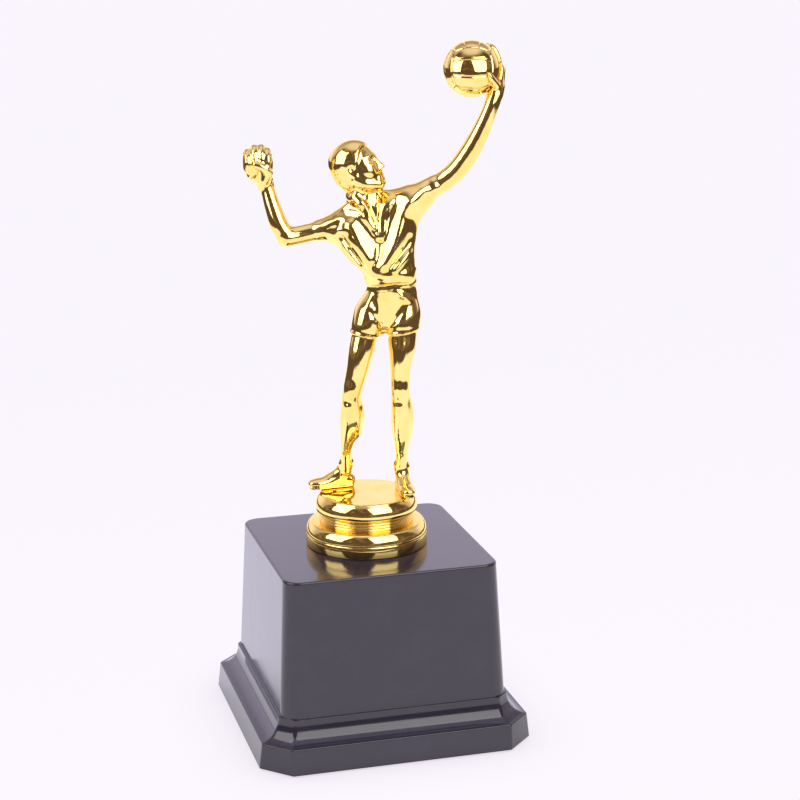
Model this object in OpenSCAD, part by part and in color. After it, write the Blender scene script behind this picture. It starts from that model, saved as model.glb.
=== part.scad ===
// Figure trophy: a volleyball player on a turned collar, bolted to a weighted, flared square base.
// Millimetres. +Z is up, -Y is the front of the base, and the origin is where the middle of the
// trophy's underside meets the table.

/* [Base] */
// Width across the foot of the flared base
base_w = 80; // [72:0.5:110]
// Height of the base shell, from its rim to its top
base_h = 53.4; // [46:0.1:90]
// Width across the flat top of the box
box_top_w = 62.2; // [58:0.1:66]
// Width across the box where it meets the flare
box_foot_w = 66; // [62:0.1:72]
// Height of the upright band round the foot
band_h = 7.5; // [5:0.1:9]
// Height at which the flare meets the box
flare_h = 13.6; // [11.5:0.1:20]
// Wall of the moulded base shell
shell_wall = 2.2; // [1.6:0.1:3]
// Corner radius of the box
box_corner_r = 4.5; // [2.5:0.1:8]
// Corner cut across the foot
foot_clip = 8; // [4:0.1:10]

/* [Ballast and underside] */
// Thickness of the cast weight in the base
weight_h = 12; // [8:0.5:20]
// Space between the cast weight and the foot of the box's wall, on each side
weight_room = 4.3; // [2.5:0.1:8]
// Hole through the cast weight, for a nut driver
weight_hole_d = 24; // [18:0.5:30]
// Thickness of the bottom cover
cover_t = 2; // [1.5:0.1:3]
// Thickness of the rubber foot pads
pad_t = 1.5; // [1.2:0.1:2.5]
// Diameter of the rubber foot pads
pad_d = 8; // [5:0.5:9]
// Height that the pads hold the rim off the table
pad_proud = 0.5; // [0.3:0.1:1]
// Diameter of the cover screws' threads
screw_d = 2.8; // [2:0.1:3.2]
// Length of the cover screws' threads
screw_len = 9; // [6:0.5:12]
// Space between each screw post and the top of the box's wall
post_room = 1.8; // [0.8:0.1:3]

/* [Collar and disc] */
// Diameter of the collar's lower band
collar_d = 35.6; // [30:0.1:44]
// Height of the collar's lower band
collar_band_h = 3.6; // [2:0.1:6]
// Height of the collar's round shoulder, above the band
collar_bulge_h = 2.7; // [1.5:0.1:5]
// Diameter of the collar's neck
neck_d = 26.8; // [24:0.1:32]
// Height of the collar's neck, above the shoulder
neck_h = 3.2; // [2:0.1:8]
// Largest diameter of the disc that the figure stands on
disc_d = 29.9; // [26:0.1:36]
// Diameter of the disc's flat top
disc_top_d = 26.7; // [24:0.1:34]
// Height of the disc
disc_h = 5.5; // [5.2:0.1:10]
// Wall of the collar
collar_wall = 1.8; // [1.2:0.1:2.4]

/* [Centre bolt] */
// Thread diameter of the centre bolt
bolt_d = 5; // [4:0.5:6]
// How far the centre bolt's tip comes out of its nut
bolt_past_nut = 0.1; // [0:0.1:0.5]
// Clearance between the bolt and the holes that it passes through, on the radius
bolt_gap = 0.3; // [0.1:0.05:0.6]
// Thickness of the flat washer
washer_t = 1; // [0.8:0.1:1.6]
// Thickness of the spring washer
spring_washer_t = 1.2; // [0.8:0.1:1.6]

/* [Figure] */
// Height of the figure from the soles to the crown
figure_h = 102.3; // [85:0.1:123]
// Turn of the figure to its right on the base, in degrees
figure_turn = -15.3; // [-180:0.1:180]
// Wall of the hollow trunk
figure_wall = 1.6; // [1.2:0.1:2]
// Diameter of the ball
ball_d = 15.8; // [12:0.1:19]
// Diameter of the pegs under the feet
peg_d = 2.2; // [1.6:0.1:2.6]
// Length of the pegs under the feet
peg_len = 2; // [1.2:0.1:2.4]

/* [Hidden] */

gap = 0.15;            // clearance on each side between pieces that drop into each other
thin = 0.02;           // thickness of a slice that a hull runs to
curve_fn = 96;         // facets on the round, turned pieces
soft_fn = 16;          // facets on the figure's limbs
corner_fn = 32;        // facets on rounded corners

// Heights, from the table up
rim_z = pad_proud;
cover_z = pad_t;
cover_top_z = cover_z + cover_t;
weight_z = cover_top_z;
weight_top_z = weight_z + weight_h;
top_z = rim_z + base_h;
roof_z = top_z - shell_wall;
neck_z = top_z + collar_band_h + collar_bulge_h;
disc_z = neck_z + neck_h;
sole_z = disc_z + disc_h;

// Base
foot_half = base_w / 2;
band_top_half = foot_half - 0.9;
box_foot_half = box_foot_w / 2;
box_top_half = box_top_w / 2;
lip_half = box_foot_half + 0.9;
lip_clip = 3.9;
cove_steps = 8;
edge_r = 0.5;
ledge = 1.6;
recess_r = foot_clip * (1 + sqrt(0.5)) - shell_wall;
weight_half = box_foot_half - shell_wall - weight_room;
post_r = screw_d / 2 + 2.2;
post_at = box_top_half - shell_wall - post_room - post_r;
pad_at = foot_half - 9.5;
pilot_r = screw_d / 2 + 0.05;
screw_head_r = screw_d;
screw_head_h = screw_d * 0.5;
rib_t = 1.6;

// Bolt stack
bolt_hole_r = bolt_d / 2 + bolt_gap;
washer_r = bolt_d;
spring_washer_r = bolt_d * 0.88;
head_z = roof_z - washer_t - spring_washer_t;
head_h = bolt_d * 0.7;
head_flats = bolt_d * 1.6;
nut_h = bolt_d * 0.8;
nut_pocket_h = nut_h + 0.1;
bolt_tip_z = disc_z + nut_h + bolt_past_nut;
bolt_len = bolt_tip_z - head_z;

// Figure: every place below is in a frame that stands on the disc, with X to the viewer's right,
// Y away from the viewer and Z up, for a figure of the nominal height. A chain is a list of
// stations, each a place and its semi-axes along X, Y and Z.
nominal_h = 102.3;
k = figure_h / nominal_h;
leg_gap_x = 5.1;
knee_r = [-2.9, -0.8, 29.5];
knee_l = [10.5, -0.8, 29.5];
ankle_r = [-5.6, 4.6, 8];
ankle_l = [10.6, 2, 8];
sole_mid_r = [-7.4, 5.6, 0];
sole_mid_l = [10.8, 0.6, 0];
leg_r = [
    [[2, 0.6, 48], [4, 4.6, 4]],
    [[-1.4, 0.2, 37], [3.4, 3.6, 3]],
    [knee_r, [2.9, 3.1, 3]],
    [[-3.6, 0.9, 22.5], [3.2, 3.3, 4]],
    [ankle_r, [1.9, 2.2, 2]]
];
leg_l = [
    [[11.2, 0.6, 48], [4.1, 4.6, 4]],
    [[10.9, 0.2, 37], [3.5, 3.8, 3]],
    [knee_l, [3, 3.1, 3]],
    [[10.4, 0.6, 22.5], [3.2, 3.4, 4]],
    [ankle_l, [2.1, 2.2, 2]]
];
foot_r = [[ankle_r + [0, 0, -1.7], [1.8, 2, 2]], [[-4.9, 6.2, 2], [2, 2, 2]],
    [[-10.5, 4.8, 1.9], [2.4, 2.3, 1.9]], [[-15.6, 4.2, 1.3], [1.9, 2.2, 1.3]]];
foot_l = [[ankle_l + [0, 0, -1.7], [2, 2, 2]], [[10.1, 4.4, 2], [2, 2.1, 2]],
    [[11.2, -2.4, 1.9], [2.3, 2.4, 1.9]], [[12.3, -6.2, 1.3], [2.2, 1.9, 1.3]]];
trunk_line = [
    [[7.3, 0.7, 52.5], [8.3, 5.7, 5]],
    [[7.7, 0.5, 62.3], [6.3, 4.8, 3.2]],
    [[6.3, 0.2, 68.6], [7.8, 5.2, 3.6]],
    [[4.8, 0.2, 75.6], [9.2, 5.2, 4.6]]
];
shoulder_r = [-3.4, 0.7, 78.6];
shoulder_l = [12.9, 0.3, 84.2];
shoulders = [[shoulder_r, [3.5, 3.7, 3.3]], [[4.6, 0.2, 79.4], [6, 4.6, 4.8]],
    [shoulder_l, [3.7, 3.6, 3.5]]];
cuff_r = [-11.6, 1, 76.7];
cuff_l = [20.2, 0.2, 88.9];
sleeve_r = [[shoulder_r + [1, 0, 0], [3.3, 3.5, 3.2]], [cuff_r, [3.1, 3.2, 3.2]]];
sleeve_l = [[shoulder_l - [1, 0, 0], [3.5, 3.4, 3.3]], [cuff_l, [3.2, 3.2, 3.2]]];
elbow_r = [-21, 1.8, 75.7];
wrist_r = [-26.6, 1, 89.6];
arm_r = [[cuff_r, [2.7, 2.7, 2.8]], [elbow_r, [2.8, 2.7, 2.8]],
    [[-24.6, 1.4, 83], [2.7, 2.6, 2.6]], [wrist_r, [2, 1.9, 2]]];
fist = [[wrist_r + [0, 0, 0.5], [2.1, 1.8, 2]], [[-28.3, 0.5, 94.6], [3.7, 2.4, 2.7]],
    [[-29.4, 0.2, 98.6], [3.9, 2.8, 2.9]]];
wrist_l = [36.7, 0.8, 114.3];
arm_l = [[cuff_l, [2.8, 2.8, 2.8]], [[26.8, 0, 94.3], [2.9, 2.7, 2.9]],
    [[31.1, -0.1, 101], [2.8, 2.6, 2.8]], [[34.7, 0.1, 109], [2.4, 2.3, 2.6]],
    [wrist_l, [2.2, 2, 2]]];
palm = [[wrist_l + [0.1, 0.1, 1], [2.1, 1.9, 2]], [[37.9, 1.4, 119.4], [2.1, 3, 2.8]],
    [[36.9, 3.3, 124.3], [1.7, 2.5, 2.1]]];
thumb = [[wrist_l + [-0.3, -1, 1.4], [1.5, 1.4, 1.6]], [[36.2, -5.4, 119.4], [1.3, 1.2, 1.5]]];
head_at = [-2.2, 0.2, 95];
skull = [[head_at + [-1, 0.3, 0.8], [6.4, 6, 6.2]], [head_at + [2.2, -0.8, 1.4], [5.2, 5, 5.2]]];
jaw = [[head_at + [2.4, -0.8, -0.6], [4.8, 4.6, 5]], [head_at + [6.4, -2, -3.2], [2.3, 2.6, 2.3]]];
neck_line = [[[3.4, 0.4, 82], [3.6, 3.6, 3]], [head_at + [0.4, 0.4, -2.6], [3.3, 3.5, 3]]];
ball_at = [30.7, -1, 122.4];
ball_wall = 1.6;
ball_gap = 0.06;
link_step = 0.13;      // each link of a chain starts this far inside the last, so they cross cleanly
pin_r = 0.6;
pin_len = 1.2;
pin_gap = 0.08;
part_y = 0.37;         // the flat part of the joint between the figure's two halves
part_step = 0.17;      // keeps the joint off the exact middle of a limb

// The outline of a rounded square of half-width h, with corners of radius r
function rounded_square(h, r) = [for (c = [0 : 3], i = [0 : corner_fn / 4])
    let (a = 90 * c + 360 * i / corner_fn, m = [[1, 1], [-1, 1], [-1, -1], [1, -1]][c])
    [m[0] * (h - r) + r * cos(a), m[1] * (h - r) + r * sin(a)]];

module rounded_slice(h, r, z, t = thin) {
    translate([0, 0, z])
        linear_extrude(t)
            polygon(rounded_square(h, r));
}

// A square outline with its corners cut off, as eight points at one height
function clipped_ring(h, c, z) = [
    [h - c, -h, z], [h, -h + c, z], [h, h - c, z], [h - c, h, z],
    [-h + c, h, z], [-h, h - c, z], [-h, -h + c, z], [-h + c, -h, z]
];

// A closed solid through a stack of rings with equal numbers of points
module ring_stack(rings) {
    sides = len(rings[0]);
    last = len(rings) - 1;
    sidewalls = [for (i = [0 : last - 1], j = [0 : sides - 1]) each [
        [i * sides + j, (i + 1) * sides + j, (i + 1) * sides + (j + 1) % sides],
        [i * sides + j, (i + 1) * sides + (j + 1) % sides, i * sides + (j + 1) % sides]
    ]];
    foot = [[for (j = [0 : sides - 1]) j]];
    crown = [[for (j = [sides - 1 : -1 : 0]) last * sides + j]];
    polyhedron(points = [for (r = rings) each r], faces = concat(sidewalls, foot, crown));
}

// The flare: an upright band, then a cove that runs up to a thin lip against the box
module flare() {
    cove = [for (i = [0 : cove_steps])
        let (
            a = 90 - 90 * i / cove_steps,
            h = band_top_half - (band_top_half - lip_half) * cos(a),
            z = flare_h - (flare_h - band_h) * sin(a),
            c = foot_clip - 1 - (foot_clip - 1 - lip_clip) * cos(a)
        )
        clipped_ring(h, c, rim_z + z)];
    rings = concat([clipped_ring(foot_half, foot_clip, rim_z)], cove,
        [clipped_ring(box_foot_half, lip_clip, rim_z + flare_h)]);
    ring_stack(rings);
}

// The tapering box above the flare, with a fine radius round its top
module box() {
    hull() {
        rounded_slice(box_foot_half, box_corner_r, rim_z + flare_h - edge_r);
        rounded_slice(box_top_half, box_corner_r, top_z - edge_r);
        rounded_slice(box_top_half - edge_r * 0.3, box_corner_r, top_z - edge_r * 0.3);
        rounded_slice(box_top_half - edge_r, box_corner_r - edge_r, top_z - thin);
    }
}

module each_post() {
    for (x = [-1, 1], y = [-1, 1])
        translate([x * post_at, y * post_at, 0])
            children();
}

// One black moulding: flare, box, posts for the cover screws and ribs that hold the weight down
module base_shell() {
    inner_r = box_corner_r - shell_wall * 0.6;
    color([0.07, 0.07, 0.08])
    difference() {
        union() {
            difference() {
                union() {
                    flare();
                    box();
                }
                hull() {
                    rounded_slice(box_foot_half - shell_wall, inner_r, cover_top_z);
                    rounded_slice(box_top_half - shell_wall, inner_r, roof_z - thin);
                }
                hull() {
                    rounded_slice(foot_half - shell_wall - ledge, foot_clip, cover_top_z);
                    rounded_slice(box_foot_half - shell_wall, inner_r, rim_z + flare_h - shell_wall);
                }
                rounded_slice(foot_half - shell_wall, recess_r, rim_z - 1,
                    cover_top_z - rim_z + 1);
            }
            each_post()
                translate([0, 0, cover_top_z])
                    cylinder(h = roof_z + 1 - cover_top_z, r = post_r, $fn = corner_fn);
            for (a = [0 : 90 : 270])
                rotate(a)
                    translate([post_at - rib_t, -rib_t / 2, weight_top_z + gap])
                        cube([box_top_half - shell_wall / 2 - post_at + rib_t, rib_t,
                            roof_z + 1 - weight_top_z]);
        }
        translate([0, 0, roof_z - 1])
            cylinder(h = shell_wall + 2, r = bolt_hole_r, $fn = curve_fn);
        each_post()
            translate([0, 0, cover_top_z - 1])
                cylinder(h = screw_len + 2, r = pilot_r, $fn = corner_fn);
    }
}

// The ballast: a cast slab, cut away at its corners to clear the screw posts
module weight_block() {
    notch = post_at - post_r - gap * 3;
    color([0.25, 0.25, 0.26])
    difference() {
        translate([-weight_half, -weight_half, weight_z])
            cube([weight_half * 2, weight_half * 2, weight_h]);
        for (a = [0 : 90 : 270])
            rotate(a)
                translate([notch, notch, weight_z - 1])
                    cube([weight_half, weight_half, weight_h + 2]);
        translate([0, 0, weight_z - 1])
            cylinder(h = weight_h + 2, d = weight_hole_d, $fn = curve_fn);
    }
}

// The plate that closes the underside, held by four screws
module bottom_cover() {
    half = foot_half - shell_wall - gap * 2;
    color([0.1, 0.1, 0.11])
    difference() {
        rounded_slice(half, recess_r, cover_z, cover_t);
        each_post() {
            translate([0, 0, cover_z - 1])
                cylinder(h = cover_t + 2, r = screw_d / 2 + gap, $fn = corner_fn);
            translate([0, 0, cover_z - 1])
                cylinder(h = 1 + screw_head_h * 0.4, r = screw_head_r + gap, $fn = corner_fn);
        }
    }
}

module cover_screws() {
    seat_z = cover_z + screw_head_h * 0.4;
    color([0.6, 0.6, 0.62])
    each_post()
        difference() {
            union() {
                translate([0, 0, seat_z - screw_head_h])
                    cylinder(h = screw_head_h, r = screw_head_r, $fn = corner_fn);
                translate([0, 0, seat_z - 0.1])
                    cylinder(h = screw_len + 0.1, d = screw_d, $fn = corner_fn);
            }
            for (a = [0, 90])
                rotate(a)
                    translate([-screw_head_r * 0.6, -0.3, seat_z - screw_head_h - 1])
                        cube([screw_head_r * 1.2, 0.6, 1 + screw_head_h * 0.5]);
        }
}

module foot_pads() {
    color([0.15, 0.15, 0.15])
    for (x = [-1, 1], y = [-1, 1])
        translate([x * pad_at, y * pad_at, 0])
            cylinder(h = pad_t, d = pad_d, $fn = corner_fn * 2);
}

// The turned collar under the figure, moulded hollow with a tube round the bolt
module collar() {
    band_r = collar_d / 2;
    neck_r = neck_d / 2;
    bead = 0.45;
    beads = 3;
    shoulder_r = neck_r + 1;
    bulge = [for (a = [0 : 10 : 90])
        [shoulder_r + (band_r - shoulder_r) * cos(a),
            collar_band_h + collar_bulge_h * sin(a)]];
    bead_h = neck_h / beads;
    neck = [for (i = [0 : beads - 1], a = [-90 : 30 : 90])
        [neck_r + bead * cos(a), neck_z - top_z + bead_h * (i + 0.5) + bead_h * 0.4 * sin(a)]];
    top = disc_z - top_z;
    tube_r = bolt_hole_r + collar_wall;
    color([0.85, 0.65, 0.13])
    translate([0, 0, top_z])
        rotate_extrude($fn = curve_fn)
            difference() {
                polygon(concat([[bolt_hole_r, 0], [band_r, 0]], bulge, neck,
                    [[neck_r, top], [bolt_hole_r, top]]));
                translate([tube_r, -1])
                    square([neck_r - collar_wall - tube_r, top - collar_wall + 1]);
                translate([tube_r, -1])
                    square([band_r - collar_wall - tube_r, collar_band_h + 1]);
            }
}

// The disc that the figure stands on: a round roll with a flat top, and a hex pocket for the nut
module figure_disc() {
    top_r = disc_top_d / 2;
    roll_r = disc_d / 2;
    neck_r = neck_d / 2;
    roll_z = disc_h * 0.36;
    lower = [for (a = [-90 : 15 : 0])
        [neck_r + (roll_r - neck_r) * cos(a), roll_z + roll_z * sin(a)]];
    upper = [for (a = [10 : 10 : 90])
        [top_r + (roll_r - top_r) * cos(a), roll_z + (disc_h - roll_z) * sin(a)]];
    nut_hex_r = (head_flats / 2 + gap) / cos(30);
    color([0.85, 0.65, 0.13])
    translate([0, 0, disc_z])
        difference() {
            rotate_extrude($fn = curve_fn)
                polygon(concat([[0, 0]], lower, upper, [[0, disc_h]]));
            translate([0, 0, -1])
                cylinder(h = nut_pocket_h + 1, r = nut_hex_r, $fn = 6);
            translate([0, 0, -1])
                cylinder(h = bolt_tip_z - disc_z + 1 + gap, r = bolt_d / 2 + gap, $fn = curve_fn);
            rotate(figure_turn)
                for (p = [sole_mid_r, sole_mid_l])
                    translate([p[0] * k, p[1] * k, disc_h - peg_len - gap])
                        cylinder(h = peg_len + 1, r = peg_d / 2 + gap, $fn = corner_fn);
        }
}

module captive_nut() {
    color([0.7, 0.7, 0.72])
    translate([0, 0, disc_z])
        difference() {
            cylinder(h = nut_h, r = head_flats / 2 / cos(30), $fn = 6);
            translate([0, 0, -1])
                cylinder(h = nut_h + 2, r = bolt_d / 2 + 0.03, $fn = curve_fn);
        }
}

module centre_bolt() {
    color([0.7, 0.7, 0.72]) {
        translate([0, 0, head_z - head_h])
            cylinder(h = head_h, r = head_flats / 2 / cos(30), $fn = 6);
        translate([0, 0, head_z - 0.1])
            cylinder(h = bolt_len + 0.1, d = bolt_d, $fn = curve_fn);
    }
}

module washer(z, r, t) {
    translate([0, 0, z])
        difference() {
            cylinder(h = t, r = r, $fn = curve_fn);
            translate([0, 0, -1])
                cylinder(h = t + 2, r = bolt_d / 2 + gap, $fn = curve_fn);
        }
}

module flat_washer() {
    color([0.75, 0.75, 0.77])
    washer(roof_z - washer_t, washer_r, washer_t);
}

// The spring washer is split: a slot through one side
module spring_washer() {
    slot = 0.7;
    color([0.5, 0.5, 0.52])
    difference() {
        washer(head_z, spring_washer_r, spring_washer_t);
        translate([0, -slot / 2, head_z - 1])
            cube([washer_r, slot, spring_washer_t + 2]);
    }
}

// An ellipsoid with semi-axes r at p
module blob(p, r) {
    translate(p)
        scale(r)
            sphere(1, $fn = soft_fn);
}

// A chain of hulls through its stations, drawn in all over by "inset"
module chain(stations, inset = 0) {
    for (i = [0 : len(stations) - 2]) {
        start = i == 0 ? inset : inset + link_step;
        hull() {
            blob(stations[i][0], stations[i][1] - [start, start, start]);
            blob(stations[i + 1][0], stations[i + 1][1] - [inset, inset, inset]);
        }
    }
}

// One leg of the shorts, ending in its raised hem
module shorts_leg(stations, hem_r) {
    hip = stations[0][0];
    hem = hip + (stations[1][0] - hip) * 0.28;
    hull() {
        blob(hip, stations[0][1] + [0.3, 0.4, 0.2]);
        blob(hem, [hem_r, hem_r * 1.1, 1.1]);
    }
}

module figure_solid() {
    for (stations = [leg_r, leg_l, foot_r, foot_l, trunk_line, shoulders, sleeve_r, sleeve_l,
            arm_r, fist, arm_l, palm, thumb, skull, jaw, neck_line])
        chain(stations);
    shorts_leg(leg_r, 4.1);
    shorts_leg(leg_l, 4.5);
}

// The front half's space. Below the hips the joint follows the middle of each leg, and the two
// legs' blocks run into each other a little where they meet.
module front_space() {
    far = 60;
    for (side = [[-far, leg_gap_x + thin, knee_r, ankle_r], [leg_gap_x - thin, far, knee_l, ankle_l]])
        translate([side[0], 0, 0])
            rotate([90, 0, 90])
                linear_extrude(side[1] - side[0])
                    polygon([[-far, -far], [side[3][1] + part_step, -far],
                        [side[3][1] + part_step, side[3][2]],
                        [side[2][1] + part_step, side[2][2]],
                        [part_y, leg_r[0][0][2]], [part_y, far * 3], [-far, far * 3]]);
}

// Short pins on the front half that line it up with the back half
module joint_pins(extra) {
    knee_pin = [knee_l[0], knee_l[1] + part_step, knee_l[2] + 0.01];
    head_pin = [head_at[0] - 0.6, part_y, head_at[2] + 5.4];
    for (p = [knee_pin, [elbow_r[0], part_y, elbow_r[2]], [30.6, part_y, 100.4], head_pin])
        translate(p - [0, 1, 0])
            rotate([-90, 0, 0])
                cylinder(h = pin_len + 1 + extra, r = pin_r + extra, $fn = 14);
}

module figure_frame() {
    translate([0, 0, sole_z])
        rotate(figure_turn)
            scale(k)
                children();
}

// The hollow figure before it is split, with a seat for the ball and flat soles
module figure_body() {
    difference() {
        figure_solid();
        chain(trunk_line, figure_wall / k);
        blob(skull[0][0], skull[0][1] - [1, 1, 1] * figure_wall / k);
        translate([-60, -60, -20])
            cube([120, 120, 20]);
        translate(ball_at)
            sphere(ball_d / 2 / k + ball_gap, $fn = 48);
    }
}

module foot_peg(p) {
    translate([p[0], p[1], -peg_len / k])
        cylinder(h = (peg_len + 1) / k, d = peg_d / k, $fn = 24);
}

module figure_front_shell() {
    color([0.85, 0.65, 0.13])
    figure_frame() {
        intersection() {
            figure_body();
            front_space();
        }
        joint_pins(0);
        foot_peg(sole_mid_l);
    }
}

module figure_back_shell() {
    color([0.85, 0.65, 0.13])
    figure_frame() {
        difference() {
            figure_body();
            front_space();
            joint_pins(pin_gap);
        }
        foot_peg(sole_mid_r);
    }
}

module ball() {
    color([0.85, 0.65, 0.13])
    translate([0, 0, sole_z])
        rotate(figure_turn)
            translate(k * ball_at)
                difference() {
                    sphere(d = ball_d, $fn = curve_fn);
                    sphere(d = ball_d - 2 * ball_wall, $fn = curve_fn);
                }
}

base_shell();
weight_block();
bottom_cover();
cover_screws();
foot_pads();
collar();
figure_disc();
captive_nut();
centre_bolt();
flat_washer();
spring_washer();
figure_front_shell();
figure_back_shell();
ball();
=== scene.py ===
# %% [markdown]
# # A figure trophy
# A gold volleyball player stands on a turned collar, bolted to a black, weighted base. The packed
# CAD model is the fixed frame: it says where every piece sits and how big it is. This script adds
# what a CAD model leaves out, which here is the sculpture and the two finishes that make the
# object what it is: a gold mirror and polished black plastic.

# %% Load the frame
import math

import bpy
import numpy as np
import openvdb
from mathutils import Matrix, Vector


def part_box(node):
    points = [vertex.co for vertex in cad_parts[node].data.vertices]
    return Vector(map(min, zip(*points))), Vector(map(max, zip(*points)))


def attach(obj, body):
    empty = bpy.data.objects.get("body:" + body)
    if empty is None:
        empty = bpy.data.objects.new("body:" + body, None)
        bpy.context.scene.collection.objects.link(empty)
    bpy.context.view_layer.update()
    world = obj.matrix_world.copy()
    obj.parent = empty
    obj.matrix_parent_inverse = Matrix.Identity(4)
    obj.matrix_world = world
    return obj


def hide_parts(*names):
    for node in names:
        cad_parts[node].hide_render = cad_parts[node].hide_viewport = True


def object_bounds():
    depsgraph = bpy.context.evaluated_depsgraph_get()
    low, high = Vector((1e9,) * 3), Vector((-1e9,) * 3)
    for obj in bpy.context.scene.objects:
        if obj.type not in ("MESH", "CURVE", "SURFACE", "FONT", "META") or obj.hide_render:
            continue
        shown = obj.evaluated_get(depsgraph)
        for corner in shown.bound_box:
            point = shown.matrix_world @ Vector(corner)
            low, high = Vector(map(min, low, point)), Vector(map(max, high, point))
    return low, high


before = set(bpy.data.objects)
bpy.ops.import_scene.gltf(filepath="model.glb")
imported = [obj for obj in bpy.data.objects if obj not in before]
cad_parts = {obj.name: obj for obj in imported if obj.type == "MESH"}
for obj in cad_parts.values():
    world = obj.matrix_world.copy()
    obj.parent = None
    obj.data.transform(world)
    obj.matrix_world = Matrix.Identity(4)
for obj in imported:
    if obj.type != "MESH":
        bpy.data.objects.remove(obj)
cad_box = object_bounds()
MM = 0.001
mm_low, mm_high = (tuple(c / MM for c in corner) for corner in cad_box)
print("CAD box in mm:", [round(c, 2) for c in mm_low], [round(c, 2) for c in mm_high])


# %% [markdown]
# ## Camera
# The product is seen from a little above and from its left, with a long lens that keeps the base
# nearly free of perspective. A camera is easiest to read as a direction, a distance and a lens, so
# those are the values here and its matrix is worked out from them.

# %% The camera
FIGURE_TURN = math.radians(-15.3)      # the figure faces this way, towards the camera
CAMERA_VIEW = (-15.307, 14.329, -0.447)        # azimuth, elevation and roll in degrees
CAMERA_DISTANCE = 0.5801               # metres from the point that it looks at
CAMERA_AIM = (0.01013, 0.09655)        # that point: to the right of the axis, and its height
CAMERA_LENS = 90.32


def new_object(name, data):
    made = bpy.data.objects.new(name, data)
    bpy.context.scene.collection.objects.link(made)
    return made


def unit_from(azimuth, elevation):
    """The direction from the object towards a place at this azimuth and elevation."""
    return Vector((math.sin(azimuth) * math.cos(elevation),
                   -math.cos(azimuth) * math.cos(elevation), math.sin(elevation)))


def add_camera():
    azimuth, elevation, roll = (math.radians(a) for a in CAMERA_VIEW)
    back = unit_from(azimuth, elevation)
    right = Vector((math.cos(azimuth), math.sin(azimuth), 0))
    target = right * CAMERA_AIM[0] + Vector((0, 0, CAMERA_AIM[1]))
    data = bpy.data.cameras.new("camera")
    data.sensor_width = 36
    data.lens = CAMERA_LENS
    data.clip_end = 20
    camera = new_object("camera", data)
    camera.location = target + back * CAMERA_DISTANCE
    camera.rotation_euler = back.to_track_quat("Z", "Y").to_euler()
    camera.rotation_euler.rotate_axis("Z", roll)
    bpy.context.scene.camera = camera
    return camera


camera = add_camera()
print("camera at", [round(c, 3) for c in camera.location])


# %% [markdown]
# ## A short way to write shader maths
# A node tree is a formula drawn as boxes. Wrapping a socket in a class with operators lets the
# formula be written as a formula: each operator adds the Math node that it stands for.

# %% Sockets that add up
def plug(tree, value, slot):
    """Fills a socket with a link, if the value comes from another one, or else with a number."""
    if isinstance(value, Value):
        tree.links.new(value.socket, slot)
    elif hasattr(value, "links"):
        tree.links.new(value, slot)
    else:
        slot.default_value = value


class Value:
    """A number socket. Arithmetic on it adds Math nodes to its tree."""

    def __init__(self, tree, socket):
        self.tree = tree
        self.socket = socket

    def maths(self, operation, *others):
        node = self.tree.nodes.new("ShaderNodeMath")
        node.operation = operation
        for slot, value in zip(node.inputs, (self, *others)):
            plug(self.tree, value, slot)
        return Value(self.tree, node.outputs[0])

    def __add__(self, other):
        return self.maths("ADD", other)

    def __sub__(self, other):
        return self.maths("SUBTRACT", other)

    def __rsub__(self, other):
        return (self * -1) + other

    def __mul__(self, other):
        return self.maths("MULTIPLY", other)


class Nodes:
    """A node tree that is being written."""

    def __init__(self, tree):
        self.tree = tree

    def node(self, kind, settings=None, **inputs):
        """Adds one node: its settings first, then values or links."""
        made = self.tree.nodes.new(kind)
        for key, value in (settings or {}).items():
            setattr(made, key, value)
        for key, value in inputs.items():
            plug(self.tree, value, made.inputs[key.replace("_", " ")])
        return made

    def value(self, node, output):
        return Value(self.tree, node.outputs[output])

    def along(self, vector, direction):
        """How far a vector reaches in one direction."""
        made = self.node("ShaderNodeVectorMath", {"operation": "DOT_PRODUCT"})
        self.tree.links.new(vector, made.inputs[0])
        made.inputs[1].default_value = direction
        return self.value(made, "Value")


class Shader(Nodes):
    """A material's or the world's node tree, emptied and ready to be written."""

    def __init__(self, owner):
        owner.use_nodes = True
        super().__init__(owner.node_tree)
        self.tree.nodes.clear()

    def place(self):
        return self.node("ShaderNodeTexCoord").outputs["Object"]

    def noise(self, scale, detail=2.0, roughness=0.5):
        made = self.node("ShaderNodeTexNoise", Vector=self.place(), Scale=scale, Detail=detail,
                         Roughness=roughness)
        return self.value(made, "Fac")

    def smooth(self, value, low, high, start=0.0, end=1.0):
        made = self.node("ShaderNodeMapRange", {"interpolation_type": "SMOOTHSTEP"}, Value=value,
                         From_Min=low, From_Max=high, To_Min=start, To_Max=end)
        return self.value(made, "Result")

    def blend(self, amount, first, second):
        made = self.node("ShaderNodeMix", {"data_type": "RGBA"})
        for slot, value in ((0, amount), (6, first), (7, second)):
            colour = isinstance(value, tuple)
            plug(self.tree, (*value, 1) if colour else value, made.inputs[slot])
        return made.outputs[2]

    def bump(self, height, depth, strength=1.0):
        made = self.node("ShaderNodeBump", Height=height, Distance=depth, Strength=strength)
        return made.outputs["Normal"]

    def surface(self, **inputs):
        principled = self.node("ShaderNodeBsdfPrincipled", **inputs)
        self.node("ShaderNodeOutputMaterial", Surface=principled.outputs[0])


def new_material(name):
    material = bpy.data.materials.new(name)
    return material, Shader(material)


# %% [markdown]
# ## The gold
# Trophy figures are moulded in plastic, coated with aluminium in a vacuum and lacquered yellow. So
# this is a metal under a thin clear coat. It is almost a perfect mirror, and what keeps it from
# looking computed is in the small things: the moulding under the film is never quite flat, the
# lacquer pools a little darker in places, and handling leaves faint, slightly rougher patches.
# The tint of its edges is a deeper gold, because a slanting ray passes through more lacquer.

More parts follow.
